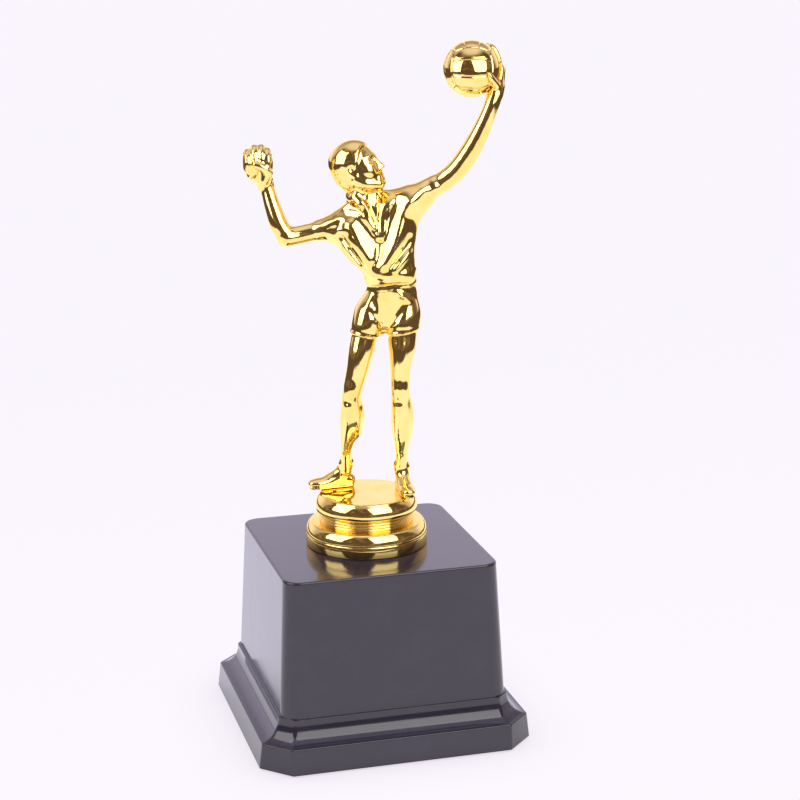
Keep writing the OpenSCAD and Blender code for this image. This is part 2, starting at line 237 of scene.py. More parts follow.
# %% Metallised gold
def metallised_gold():
    material, shader = new_material("metallised_gold")
    pools = shader.smooth(shader.noise(160, 3), 0.35, 0.75)
    handling = shader.smooth(shader.noise(420, 4, 0.6), 0.52, 0.78)
    ripple = shader.noise(260, 1.5)
    grain = shader.noise(2600, 2)
    colour = shader.blend(pools, (0.97, 0.755, 0.285), (0.92, 0.67, 0.19))
    shader.surface(
        Base_Color=colour, Metallic=1.0, Roughness=handling * 0.05 + 0.075,
        Specular_Tint=(1.0, 0.84, 0.56, 1), Coat_Weight=0.35, Coat_Roughness=0.03, Coat_IOR=1.5,
        Normal=shader.bump(ripple + grain * 0.03, 0.00016, 0.4))
    return material


# %% [markdown]
# ## The black plastic
# The base is polished polystyrene. Its colour is nearly nothing, so the eye reads it from its
# reflections: sharp, but broken by faint sink marks, a haze and fine hairlines.

# %% Polished black plastic
def polished_black():
    material, shader = new_material("polished_black")
    sink = shader.noise(38, 1.5)
    haze = shader.smooth(shader.noise(95, 5, 0.65), 0.45, 0.8)
    hairlines = shader.node("ShaderNodeTexNoise", Vector=shader.node(
        "ShaderNodeMapping", Vector=shader.place(), Scale=(60, 900, 900),
        Rotation=(0.3, 0.2, 0.5)).outputs[0], Scale=3.0, Detail=2.0)
    lines = shader.smooth(shader.value(hairlines, "Fac"), 0.66, 0.72)
    colour = shader.blend(haze, (0.021, 0.018, 0.036), (0.029, 0.026, 0.046))
    shader.surface(
        Base_Color=colour, Roughness=haze * 0.06 + lines * 0.05 + 0.13, IOR=1.59,
        Normal=shader.bump(sink + lines * 0.02, 0.0002, 0.25))
    return material


gold = metallised_gold()
black = polished_black()
print("materials:", gold.name, black.name)


# %% [markdown]
# ## Meshes from rings
# Much of this object is a stack of outlines, one above the next. One helper turns such a stack
# into a closed mesh with its faces pointing outwards.

# %% Rings to a closed mesh
def new_piece(name, points, faces, material, body):
    """A finished object in metres from points in millimetres."""
    mesh = bpy.data.meshes.new(name)
    mesh.from_pydata([tuple(MM * c for c in p) for p in points], [], faces)
    mesh.validate()
    mesh.shade_smooth()
    mesh.materials.append(material)
    piece = new_object(name, mesh)
    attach(piece, body)
    return piece


def stack_faces(rings, sides):
    faces = []
    for i in range(rings - 1):
        for j in range(sides):
            k = (j + 1) % sides
            faces.append((i * sides + j, i * sides + k, (i + 1) * sides + k, (i + 1) * sides + j))
    faces.append(tuple(reversed(range(sides))))
    faces.append(tuple((rings - 1) * sides + j for j in range(sides)))
    return faces


# %% [markdown]
# ## The base
# The real base is one moulding. Seen from above, every level of it is a square with its corners
# cut, and each cut is softened by two small arcs. When the arcs grow until they meet, the cut
# corner becomes a round one, which is how the foot's cut corners turn into the box's round ones.
# So one outline with three sizes draws the whole base, and a list of levels with rounded steps
# between them gives its profile. This is the outside only: the mesh is closed above the bottom
# cover and has no hole for the bolt, while the CAD node that it stands for is the hollow shell.

# %% Outline and profile of the base
def base_outline(half, clip, fillet, z, arc_steps=6, support=0.35):
    """A square of this half-width with cut corners, each end of a cut rounded by a fillet."""
    fillet = min(fillet, clip * 1.7)
    run = fillet * math.tan(math.radians(22.5))
    corner = []
    for centre, start in (((half - fillet, half - clip - run), 0),
                          ((half - clip - run, half - fillet), 45)):
        for i in range(arc_steps + 1):
            a = math.radians(start + 45 * i / arc_steps)
            corner.append((centre[0] + fillet * math.cos(a), centre[1] + fillet * math.sin(a)))
    corner.insert(0, (corner[0][0], corner[0][1] - support))
    corner.append((corner[-1][0] - support, corner[-1][1]))
    ring = []
    for turn in range(4):
        c, s = ((1, 0), (0, 1), (-1, 0), (0, -1))[turn]
        ring += [(x * c - y * s, x * s + y * c, z) for x, y in corner]
    return ring


def rounded_steps(levels, arc_steps=5, support=0.25):
    """Each level is (half, z, clip, fillet, radius): corners of the profile become soft arcs."""
    path = [np.array(levels[0][:4], float)]
    for before, here, after in zip(levels, levels[1:], levels[2:]):
        p, q, r = (np.array(level[:4], float) for level in (before, here, after))
        radius = here[4]
        if not radius:
            path.append(q)
            continue
        back = (p - q) / np.linalg.norm((p - q)[:2])
        on = (r - q) / np.linalg.norm((r - q)[:2])
        path.append(q + back * (radius + support))
        for i in range(arc_steps + 1):
            t = i / arc_steps
            path.append((1 - t) ** 2 * (q + back * radius) + 2 * t * (1 - t) * q
                        + t ** 2 * (q + on * radius))
        path.append(q + on * (radius + support))
    path.append(np.array(levels[-1][:4], float))
    return path


# %% Build the base
base_low, base_high = (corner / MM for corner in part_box("base_shell"))
collar_low, collar_high = (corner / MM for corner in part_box("collar"))
BASE_HALF = base_high.x
RIM_Z = base_low.z
TOP_Z = base_high.z
BAND_H, FLARE_H = 7.5, 13.5            # height of the foot's band, and of the band and its cove
LIP_HALF = 33.9                        # half width where the cove ends
BOX_FOOT_HALF, BOX_TOP_HALF = 33.05, 31.1
BOX_FILLET = 4.5                       # round corners of the box, seen from above


def base_levels():
    """The profile from the rim's inside, up the band, cove and box, and in over the top."""
    band_top = BASE_HALF - 0.9
    band_z, flare_z = RIM_Z + BAND_H, RIM_Z + FLARE_H
    levels = [(BASE_HALF - 2.3, RIM_Z + 3, 7.4, 1, 0), (BASE_HALF - 2.2, RIM_Z, 7.4, 1, 0.3),
              (BASE_HALF, RIM_Z, 8, 1, 0.35), (band_top, band_z, 7, 1.2, 0.3)]
    for i in range(1, 13):
        a = math.radians(90 - 7.5 * i)
        levels.append((band_top - (band_top - LIP_HALF) * math.cos(a),
                       flare_z - (flare_z - band_z) * math.sin(a),
                       7 - 3.1 * math.cos(a), 1.2 + 1.3 * math.cos(a), 0))
    levels += [(LIP_HALF, flare_z + 0.45, 3.9, 2.5, 0.12),
               (BOX_FOOT_HALF, flare_z + 0.6, 2.7, BOX_FILLET, 0.12),
               (BOX_TOP_HALF, TOP_Z, 2.64, BOX_FILLET, 0.55), (26, TOP_Z, 2.64, BOX_FILLET, 0),
               (20, TOP_Z, 6, 9, 0), (8, TOP_Z, 2.6, 4.4, 0)]
    return levels


def build_base():
    rings = [base_outline(half, clip, fillet, z)
             for half, z, clip, fillet in rounded_steps(base_levels())]
    points = [p for ring in rings for p in ring]
    base = new_piece("base_moulding", points, stack_faces(len(rings), len(rings[0])), black,
                     "base")
    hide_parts("base_shell")
    return base


base = build_base()
print("base:", len(base.data.polygons), "faces")


# %% [markdown]
# ## Turned pieces
# The collar and the disc are round all the way, so each is a profile spun about the trophy's axis.

# %% Spin a profile
def spin(name, profile, material, body, sides=160):
    """A closed turned piece: the profile is a list of (radius, z) from the middle to the middle."""
    rings = [[(r * math.cos(2 * math.pi * j / sides), r * math.sin(2 * math.pi * j / sides), z)
              for j in range(sides)] for r, z in profile]
    points = [p for ring in rings for p in ring]
    return new_piece(name, points, stack_faces(len(rings), sides), material, body)


def arc(centre, size, start, end, steps=14):
    """Points on an ellipse's arc, from one angle to another in degrees."""
    return [(centre[0] + size[0] * math.cos(math.radians(start + (end - start) * i / steps)),
             centre[1] + size[1] * math.sin(math.radians(start + (end - start) * i / steps)))
            for i in range(steps + 1)]


disc_low, disc_high = (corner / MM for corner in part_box("figure_disc"))
NECK_R = 13.4
SHOULDER = math.radians(42)            # how far round the shoulders of collar and disc go


def build_collar():
    """An upright band, a round shoulder, a narrow ledge and a neck with three rings."""
    z0, z1 = collar_low.z, collar_high.z
    band_r = collar_high.x
    band_top = z0 + 3.6
    ledge_z, neck_z = z0 + 6.6, z0 + 7.0
    bulge = (ledge_z - band_top) / math.sin(SHOULDER)
    profile = [(4, z0), (band_r - 0.4, z0), (band_r - 0.12, z0 + 0.1), (band_r - 0.02, z0 + 0.35),
               (band_r - 0.02, band_top - 0.3), (band_r - 0.1, band_top - 0.12),
               (band_r - 0.22, band_top - 0.06), (band_r - 0.12, band_top + 0.08)]
    profile += arc((band_r - bulge, band_top), (bulge, bulge), 3, 42, 16)
    knee_r = band_r - bulge * (1 - math.cos(SHOULDER))
    profile += [(knee_r - 0.25, ledge_z + 0.2), (knee_r - 0.55, ledge_z + 0.3),
                (knee_r - 0.9, ledge_z + 0.34), (NECK_R + 0.9, neck_z - 0.02),
                (NECK_R + 0.3, neck_z)]
    height = z1 - neck_z
    for i in range(3):
        middle = neck_z + height * (i + 0.5) / 3
        profile += arc((NECK_R - 0.05, middle), (0.45, height / 6 - 0.02), -82, 82, 12)
    profile += [(NECK_R, z1 - 0.01), (4, z1)]
    collar = spin("collar_turned", profile, gold, "figure")
    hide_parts("collar")
    return collar


def build_disc():
    """A roll that tucks under to the neck and rounds over to the flat top."""
    z0, z1 = disc_low.z, disc_high.z
    top_r, roll_r = 13.35, disc_high.x
    roll_z = z0 + 1.85
    under = 1.9
    over = (z1 - 0.5 - roll_z) / math.sin(SHOULDER)
    profile = [(3, z0), (NECK_R - 0.3, z0), (NECK_R - 0.02, z0 + 0.08), (NECK_R + 0.3, z0 + 0.24)]
    profile += arc((roll_r - under, roll_z), (under, under), -54, 0, 12)
    profile += arc((roll_r - over, roll_z), (over, over), 3, 42, 14)
    knee = roll_r - over * (1 - math.cos(SHOULDER))
    profile += [(knee - 0.14, z1 - 0.34), (knee - 0.24, z1 - 0.16), (knee - 0.4, z1 - 0.05),
                (top_r - 0.25, z1), (top_r - 0.6, z1), (6, z1), (1, z1)]
    disc = spin("disc_turned", profile, gold, "figure")
    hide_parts("figure_disc")
    return disc


collar = build_collar()
disc = build_disc()
print("collar and disc:", len(collar.data.polygons), "and", len(disc.data.polygons), "faces")


# %% [markdown]
# ## Sculpting with distances
# The figure is modelled the way a sculptor would do it in clay. A grid of numbers holds, at each
# point, how far that point is from the surface: negative inside, positive outside. Adding a muscle
# is a soft minimum, cutting a crease is a soft maximum, and pressing a fold into cloth is a plain
# subtraction. When it is done, one mesh is drawn through the points where the number is zero.

# %% The clay
def spline(rows, steps=7):
    """A smooth curve through rows of numbers, as more rows."""
    p = np.array(rows, float)
    p = np.vstack([2 * p[0] - p[1], p, 2 * p[-1] - p[-2]])
    out = []
    for a, b, c, d in zip(p, p[1:], p[2:], p[3:]):
        for i in range(steps):
            t = i / steps
            out.append(0.5 * (2 * b + (c - a) * t + (2 * a - 5 * b + 4 * c - d) * t * t
                              + (3 * b - a - 3 * c + d) * t ** 3))
    out.append(p[-2])
    return np.array(out)


def ease(value, low, high):
    """Nought below low, one above high, and a soft step between them."""
    t = np.clip((value - low) / (high - low), 0, 1)
    return t * t * (3 - 2 * t)


class Clay:
    """A grid of distances in millimetres, in the figure's own frame."""

    def __init__(self, low, high, step):
        self.step = step
        self.low = np.array(low, float)
        counts = np.ceil((np.array(high, float) - self.low) / step).astype(int) + 1
        self.axes = [self.low[i] + step * np.arange(counts[i]) for i in range(3)]
        self.field = np.full(tuple(counts), 5.0, np.float32)

    def window(self, low, high):
        cut = []
        for axis, a, b in zip(self.axes, low, high):
            i, j = np.searchsorted(axis, (a, b))
            cut.append(slice(max(int(i) - 1, 0), min(int(j) + 1, len(axis))))
        grids = np.meshgrid(*(axis[c] for axis, c in zip(self.axes, cut)), indexing="ij",
                            sparse=True)
        return tuple(cut), grids

    def meet(self, shape, sign, blend, reach=2.0):
        """The window round a shape, the clay and the shape there, and how much they blend."""
        distance, low, high = shape
        cut, grids = self.window(np.array(low) - reach, np.array(high) + reach)
        other = sign * distance(*grids).astype(np.float32)
        here = self.field[cut]
        mix = np.maximum(blend - np.abs(here - other), 0) / blend
        return cut, here, other, mix * mix * blend * 0.25

    def add(self, shape, blend=0.6):
        """Joins a shape on, with a fillet about this wide."""
        cut, here, other, fillet = self.meet(shape, 1, blend)
        self.field[cut] = np.minimum(here, other) - fillet

    def cut(self, shape, blend=0.4):
        """Takes a shape away, with its edge softened."""
        cut, here, other, fillet = self.meet(shape, -1, blend)
        self.field[cut] = np.maximum(here, other) + fillet

    def raise_by(self, amount, low, high):
        """Lifts the surface by an amount that depends on the place."""
        cut, grids = self.window(low, high)
        self.field[cut] -= amount(*grids).astype(np.float32)


def egg(centre, size, turn=None):
    """An ellipsoid; turn is a matrix whose rows are its own axes."""
    centre, size = np.array(centre, float), np.array(size, float)
    axes = np.eye(3) if turn is None else np.array(turn, float)

    def distance(x, y, z):
        q = [axes[i][0] * (x - centre[0]) + axes[i][1] * (y - centre[1])
             + axes[i][2] * (z - centre[2]) for i in range(3)]
        near = np.sqrt(sum((c / s) ** 2 for c, s in zip(q, size))) + 1e-6
        slope = np.sqrt(sum((c / s ** 2) ** 2 for c, s in zip(q, size))) + 1e-6
        return near * (near - 1) / slope

    return distance, centre - size.max(), centre + size.max()


def tube(stations, wide=(0, 1, 0), steps=7):
    """A limb through stations (x, y, z, side radius, depth radius); depth is along "wide"."""
    rows = spline([s if len(s) == 5 else (*s, s[3]) for s in stations], steps)
    rows[:, 3:] = np.maximum(rows[:, 3:], 0.05)
    path = rows[:, :3]
    tangent = np.gradient(path, axis=0)
    tangent /= np.linalg.norm(tangent, axis=1)[:, None]
    depth = np.array(wide) - tangent * (tangent @ np.array(wide))[:, None]
    depth /= np.linalg.norm(depth, axis=1)[:, None]
    side = np.cross(tangent, depth)
    table = np.hstack([path, tangent, depth, side, rows[:, 3:]])

    def distance(x, y, z):
        x, y, z = np.broadcast_arrays(x, y, z)
        best = np.full(x.shape, 1e9)
        where = np.zeros(x.shape)
        for i in range(len(path) - 1):
            a, d = path[i], path[i + 1] - path[i]
            reach = (x - a[0]) * d[0] + (y - a[1]) * d[1] + (z - a[2]) * d[2]
            t = np.clip(reach / (d @ d), 0, 1)
            gap = ((x - a[0] - t * d[0]) ** 2 + (y - a[1] - t * d[1]) ** 2
                   + (z - a[2] - t * d[2]) ** 2)
            closer = gap < best
            best = np.where(closer, gap, best)
            where = np.where(closer, i + t, where)
        index = np.minimum(where.astype(int), len(path) - 2)
        part = (where - index)[..., None]
        here = table[index] * (1 - part) + table[index + 1] * part
        q = np.stack([x, y, z], -1) - here[..., :3]
        sizes = np.stack([here[..., 13], here[..., 12], here[..., 12:].min(-1)], -1)
        local = np.stack([(q * here[..., 6:9]).sum(-1), (q * here[..., 9:12]).sum(-1),
                          (q * here[..., 3:6]).sum(-1)], -1)
        near = np.sqrt(((local / sizes) ** 2).sum(-1)) + 1e-6
        slope = np.sqrt(((local / sizes ** 2) ** 2).sum(-1)) + 1e-6
        return near * (near - 1) / slope

    big = rows[:, 3:].max()
    return distance, path.min(0) - big, path.max(0) + big


def loft(levels, cap=1.0, lean=0.0, square=2.0):
    """A trunk through levels (z, x, y, half width, depth to the front, depth to the back).

    Its sections are ellipses at a squareness of 2, and flatter in front above that.
    """
    rows = spline(levels)
    rows = rows[np.argsort(rows[:, 0])]
    z0, z1 = rows[0, 0], rows[-1, 0]

    def distance(x, y, z):
        z = z - lean * (x - rows[0, 1])
        cx, cy, a, front, back = (np.interp(z, rows[:, 0], rows[:, i]) for i in range(1, 6))
        b = np.where(y < cy, front, back)
        over = (np.maximum(z - z1, 0) + np.maximum(z0 - z, 0)) / cap
        p, q = np.abs((x - cx) / a), np.abs((y - cy) / b)
        near = (p ** square + q ** square + over ** square) ** (1 / square) + 1e-6
        slope = np.sqrt(sum(((c / near) ** (square - 1) / size) ** 2
                            for c, size in ((p, a), (q, b), (over, cap)))) + 1e-6
        return (near - 1) / slope

    rise = cap + abs(lean) * rows[:, 3].max()
    low = [(rows[:, 1] - rows[:, 3]).min(), (rows[:, 2] - rows[:, 4]).min(), z0 - rise]
    high = [(rows[:, 1] + rows[:, 3]).max(), (rows[:, 2] + rows[:, 5]).max(), z1 + rise]
    return distance, np.array(low), np.array(high)


# %% [markdown]
# ### Folds
# Cloth is pressed with strokes. A stroke is a line on the front or the back of the body, with a
# width and a height along it. A round stroke makes a roll of cloth, a flat one makes a collar or
# a hem, and a negative height makes a crease.

# %% Strokes on cloth
def stroke(path, front=True, flat=False, middle=0.5, fade=0.18):
    """A displacement along a path of (x, z, half width, height) on one side of the body."""
    rows = spline(path)
    sign = -1 if front else 1

    def amount(x, y, z):
        plane_x, plane_z = np.broadcast_arrays(x[:, 0, 0][:, None], z[0, 0, :][None, :])
        best = np.full(plane_x.shape, 1e9)
        where = np.zeros(plane_x.shape)
        for i in range(len(rows) - 1):
            a, d = rows[i, :2], rows[i + 1, :2] - rows[i, :2]
            t = np.clip(((plane_x - a[0]) * d[0] + (plane_z - a[1]) * d[1]) / (d @ d + 1e-9), 0, 1)
            gap = np.hypot(plane_x - a[0] - t * d[0], plane_z - a[1] - t * d[1])
            closer = gap < best
            best = np.where(closer, gap, best)
            where = np.where(closer, i + t, where)
        count = len(rows) - 1
        width = np.interp(where, np.arange(count + 1), rows[:, 2])
        height = np.interp(where, np.arange(count + 1), rows[:, 3])
        if flat:
            shape = 1 - ease(best, width - 0.25, width + 0.25)
        else:
            shape = np.exp(-(best / width) ** 2)
            along = where / count
            shape = shape * ease(along, -0.02, fade) * ease(1 - along, -0.02, fade)
        return (shape * height)[:, None, :] * ease(sign * (y - middle), 0.4, 2.2)

    wide = 2.6 * rows[:, 2].max() + 0.5
    low = np.array([rows[:, 0].min() - wide, -14, rows[:, 1].min() - wide])
    high = np.array([rows[:, 0].max() + wide, 14, rows[:, 1].max() + wide])
    return amount, low, high


# %% [markdown]
# ### The body
# Each function below models one part of the player. The numbers are in millimetres in the
# figure's own frame: X to the viewer's right, Y away from the viewer, and Z up from the soles.

# %% Trunk, shirt and shorts
def model_shorts(clay):
    clay.add(loft([(50, 6.6, 0.7, 8.4, 3.6, 5.6), (53.0, 7.0, 0.6, 8.2, 4.3, 5.9),
                   (56.5, 7.6, 0.4, 7.5, 4.95, 5.6), (60.4, 8.0, 0.3, 7.0, 5.3, 5.0),
                   (63.6, 8.1, 0.3, 6.8, 4.8, 4.5)]))
    clay.add(tube([(3.6, 0.8, 58.5, 3.2, 4.2), (2.0, 0.4, 54, 4.5, 5.0),
                   (0.8, 0.0, 50, 4.4, 5.2), (0.3, -0.2, 47.6, 4.2, 4.9)]), 0.6)
    clay.add(tube([(12.1, 0.8, 58.5, 3.2, 4.2), (11.7, 0.4, 54, 4.6, 5.0),
                   (11.4, 0.0, 50.4, 4.8, 5.2), (11.2, -0.2, 48.3, 4.7, 4.9)]), 0.6)
    clay.add(tube([(2.4, 1.0, 49, 1.8), (6.2, 0.9, 48.8, 2.1), (10, 1.0, 49.2, 1.8)]), 1.0)
    clay.add(loft([(60.7, 8.05, 0.3, 6.95, 5.15, 4.9), (61.5, 8.05, 0.3, 7.15, 5.4, 5.1),
                   (62.6, 8.05, 0.3, 7.0, 5.15, 4.9)], cap=0.3, lean=0.14), 0.25)


def trim_shorts(clay):
    """Each leg of the shorts ends at a clean sloping edge, and not in a rounded end."""
    x, z = clay.axes[0][:, None, None], clay.axes[2][None, None, :]
    edge = np.where(x < 5.9, 47.5 - 0.16 * (x - 0.3), 48.2 + 0.15 * (x - 11.2))
    clay.field = np.maximum(clay.field, (edge - z).astype(np.float32))


def hem_ring(clay, centre, size, slope, thick=(0.32, 0.42)):
    """A fine raised hem round one leg of the shorts."""
    rows = []
    for i in range(17):
        a = 2 * math.pi * i / 16
        x = centre[0] + size[0] * math.cos(a)
        rows.append((x, centre[1] + size[1] * math.sin(a),
                     centre[2] + slope * (x - centre[0]), thick[0], thick[1]))
    clay.add(tube(rows, wide=(0, 0, 1), steps=3), 0.25)


def model_shirt(clay):
    clay.add(loft([(63.6, 7.9, 0.3, 6.9, 6.3, 4.6), (65.0, 7.4, 0.2, 7.5, 6.85, 4.9),
                   (66.8, 6.6, 0.1, 8.2, 6.6, 5.1), (70.8, 4.8, 0, 9.8, 5.8, 5.3),
                   (74.5, 4.1, 0.1, 10.5, 5.0, 5.3), (78, 4.3, 0.3, 10.0, 4.7, 5.1),
                   (81.5, 4.9, 0.5, 8.6, 4.3, 4.8), (84.2, 5.0, 0.7, 6.3, 3.7, 4.2)],
                  square=2.6), 0.3)
    clay.add(tube([(-3.2, 0.8, 79.0, 4.0, 4.0), (0.6, 0.8, 81.5, 3.8, 4.0),
                   (4.6, 0.8, 83.2, 3.6, 4.0)]), 1.6)
    clay.add(tube([(4.6, 0.8, 83.2, 3.8, 4.0), (9, 0.6, 84.4, 4.0, 4.1),
                   (13, 0.4, 86.0, 3.8, 3.9)]), 1.6)
    clay.add(tube([(-2.8, 0.8, 79.0, 3.9, 3.9), (-7, 0.9, 78.4, 4.0, 3.8),
                   (-10.6, 1.0, 77.6, 3.3, 3.4), (-12.2, 1.1, 77.2, 3.15, 3.3)]), 1.4)
    clay.add(tube([(12.6, 0.4, 85.6, 3.9, 3.8), (16.4, 0.3, 87.4, 3.6, 3.6),
                   (19.4, 0.2, 89.2, 3.15, 3.3), (20.3, 0.2, 89.7, 3.1, 3.3)]), 1.4)
    clay.add(tube([(-8, 1.0, 75.6, 2.2), (-4.6, 0.9, 73, 2.2), (-1.6, 0.6, 69.4, 2.2)]), 2.0)
    clay.add(tube([(12, 0.4, 75, 2.6), (13.6, 0.4, 80.5, 2.6), (17.2, 0.3, 85.6, 2.4)]), 2.0)


def model_shirt_collar(clay):
    """The standing part of the collar, open at the front."""
    clay.add(tube([(-0.6, -3.2, 85.0, 0.5, 0.7), (-3.2, -1.4, 86.5, 0.55, 0.9),
                   (-4.0, 1.6, 87.0, 0.6, 1.0), (-2.0, 4.1, 86.8, 0.6, 1.0),
                   (1.6, 4.7, 86.4, 0.6, 1.0), (4.8, 3.6, 85.9, 0.6, 1.0),
                   (6.4, 0.8, 85.9, 0.6, 0.9), (6.6, -1.8, 85.4, 0.5, 0.7)], wide=(0, 0, 1)), 1.3)
    clay.add(tube([(2.6, 1.0, 81, 4.6, 4.2), (1.6, 1.1, 84, 4.9, 4.4),
                   (1.2, 1.2, 85.4, 4.9, 4.5)]), 0.8)


def model_hem_band(clay):
    """The rib at the bottom of the shirt: a strip that leans in towards the waist."""
    clay.add(loft([(63.0, 7.85, 0.3, 7.1, 5.9, 4.8), (64.1, 7.75, 0.25, 7.4, 6.4, 5.1),
                   (65.2, 7.5, 0.2, 7.65, 6.95, 5.3)], cap=0.25, lean=0.17), 0.2)


SHORTS_FOLDS = (
    ([(8.8, 60.6, 0.7, 0.2), (11.2, 59.2, 0.8, 0.6), (14.0, 56.8, 0.9, 0.4)], {}),
    ([(2.6, 59.6, 0.7, 0.25), (1.4, 57, 0.8, 0.45), (0.6, 54.6, 0.8, 0.2)], {}),
    ([(10.4, 59.6, 0.5, 0.35), (11.2, 58.4, 0.5, 0.4)], {}),
    ([(12.6, 57.0, 0.5, -0.2), (9.8, 53, 0.45, -0.35), (7.2, 49.4, 0.4, -0.4)], {}),
    ([(0.8, 56.0, 0.5, -0.2), (3.6, 52.4, 0.45, -0.35), (5.9, 49.4, 0.4, -0.4)], {}),
    ([(2.2, 58, 1.2, 0.3), (9, 57.2, 1.6, 0.25), (13, 58, 1.2, 0.2)], {"front": False}),
    ([(7.2, 59, 0.5, -0.5), (7, 54, 0.6, -0.9), (6.8, 50, 0.6, -0.9)], {"front": False}),
)
FRONT_FOLDS = (
    # two great rolls that run down from the shoulders and meet at the waist
    ([(-5.0, 81.0, 2.2, 0.6), (-3.4, 78.4, 2.5, 1.3), (-1.4, 74.8, 2.6, 1.6),
      (0.8, 71.4, 2.3, 1.1), (2.6, 67.4, 1.8, 0.4)], {"fade": 0.12}),
    ([(19.0, 90.6, 1.5, 0.3), (16.4, 89.0, 1.8, 0.8), (14.2, 86.6, 2.1, 1.4),
      (12.4, 83.6, 2.3, 1.9), (11.0, 79.4, 2.3, 2.2), (9.6, 74.8, 2.3, 2.1),
      (7.2, 70.2, 2.1, 1.3), (4.2, 66.0, 1.8, 0.3)], {"fade": 0.1}),
    # the valley between them, and the creases beside them
    ([(4.3, 76.0, 0.9, -0.3), (4.7, 73.4, 1.2, -0.8), (4.3, 70.2, 1.1, -0.8),
      (2.6, 67.2, 0.9, -0.4)], {}),
    ([(13.6, 77.4, 0.9, -0.3), (12.4, 73.6, 1.0, -0.7), (9.8, 70.0, 0.9, -0.8),
      (7.4, 66.8, 0.7, -0.6)], {}),
    ([(14.2, 72.6, 1.1, 0.3), (12.2, 70.6, 1.2, 0.8), (9.6, 67.6, 1.0, 0.7),
      (8.2, 65.8, 0.8, 0.3)], {}),
    # fine creases down the side from the armpit
    ([(-7.2, 77.4, 0.6, -0.3), (-4.6, 74.4, 0.65, -0.8), (-1.6, 70.4, 0.65, -0.9),
      (1.2, 66.4, 0.6, -0.6)], {}),
    ([(-5.2, 73.6, 0.45, 0.2), (-2.6, 69.8, 0.5, 0.5), (-0.2, 66.6, 0.45, 0.3)], {"middle": 1.5}),
    # the yoke seam over the shoulder
    ([(-5.4, 82.2, 0.7, 0.2), (-3.2, 83.2, 0.75, 0.5), (-1.0, 82.6, 0.75, 0.6),
      (1.1, 80.4, 0.7, 0.6), (2.9, 77.6, 0.6, 0.5), (3.9, 75.6, 0.5, 0.2)], {}),
    # a crease along the bent arm's sleeve, and a soft roll under it
    ([(-4.6, 79.8, 0.8, -0.2), (-8.0, 78.2, 0.9, -0.5), (-11.0, 77.6, 0.7, -0.3)], {}),
    ([(-10.6, 79.4, 0.6, 0.1), (-8.6, 76.4, 0.7, 0.3), (-6.2, 73.6, 0.6, 0.15)], {}),
)
BACK_FOLDS = [(path, {"front": False}) for path in (
    [(-4, 81, 1.6, 0.4), (0, 77, 2.0, 0.8), (5, 74, 2.0, 0.6), (10, 72, 1.6, 0.3)],
    [(13, 84, 1.6, 0.5), (9, 79, 2.0, 0.9), (6, 73, 1.8, 0.8), (6, 67, 1.4, 0.5)],
    [(1, 80, 0.7, -0.3), (4.5, 75, 0.8, -0.7), (6.8, 69, 0.7, -0.7), (7.4, 66, 0.6, -0.3)],
    [(12, 76, 0.8, 0.3), (11, 71, 0.9, 0.6), (10.6, 67, 0.8, 0.4)],
    [(0, 72, 0.8, 0.3), (2.4, 69, 0.8, 0.6), (3.6, 66, 0.7, 0.4)])]
PLACKET = (
    ([(2.4, 88.6, 1.5, -0.5), (3.0, 85.6, 1.5, -0.8), (3.5, 82.6, 1.1, -0.7),
      (3.6, 79.9, 0.3, -0.4)], {"flat": True}),
    ([(-2.0, 87.4, 1.2, 0.6), (-0.5, 85.6, 1.2, 0.7), (1.3, 82.7, 1.1, 0.75),
      (2.8, 79.8, 0.8, 0.7), (3.5, 78.3, 0.4, 0.5)], {"flat": True}),
    ([(7.8, 86.6, 1.1, 0.5), (6.4, 83.6, 1.1, 0.6), (5.8, 80.4, 1.1, 0.6),
      (5.6, 77.6, 0.9, 0.6), (5.3, 75.3, 0.5, 0.4)], {"flat": True}),
)


def press(clay, strokes):
    for path, options in strokes:
        clay.raise_by(*stroke(path, **options))


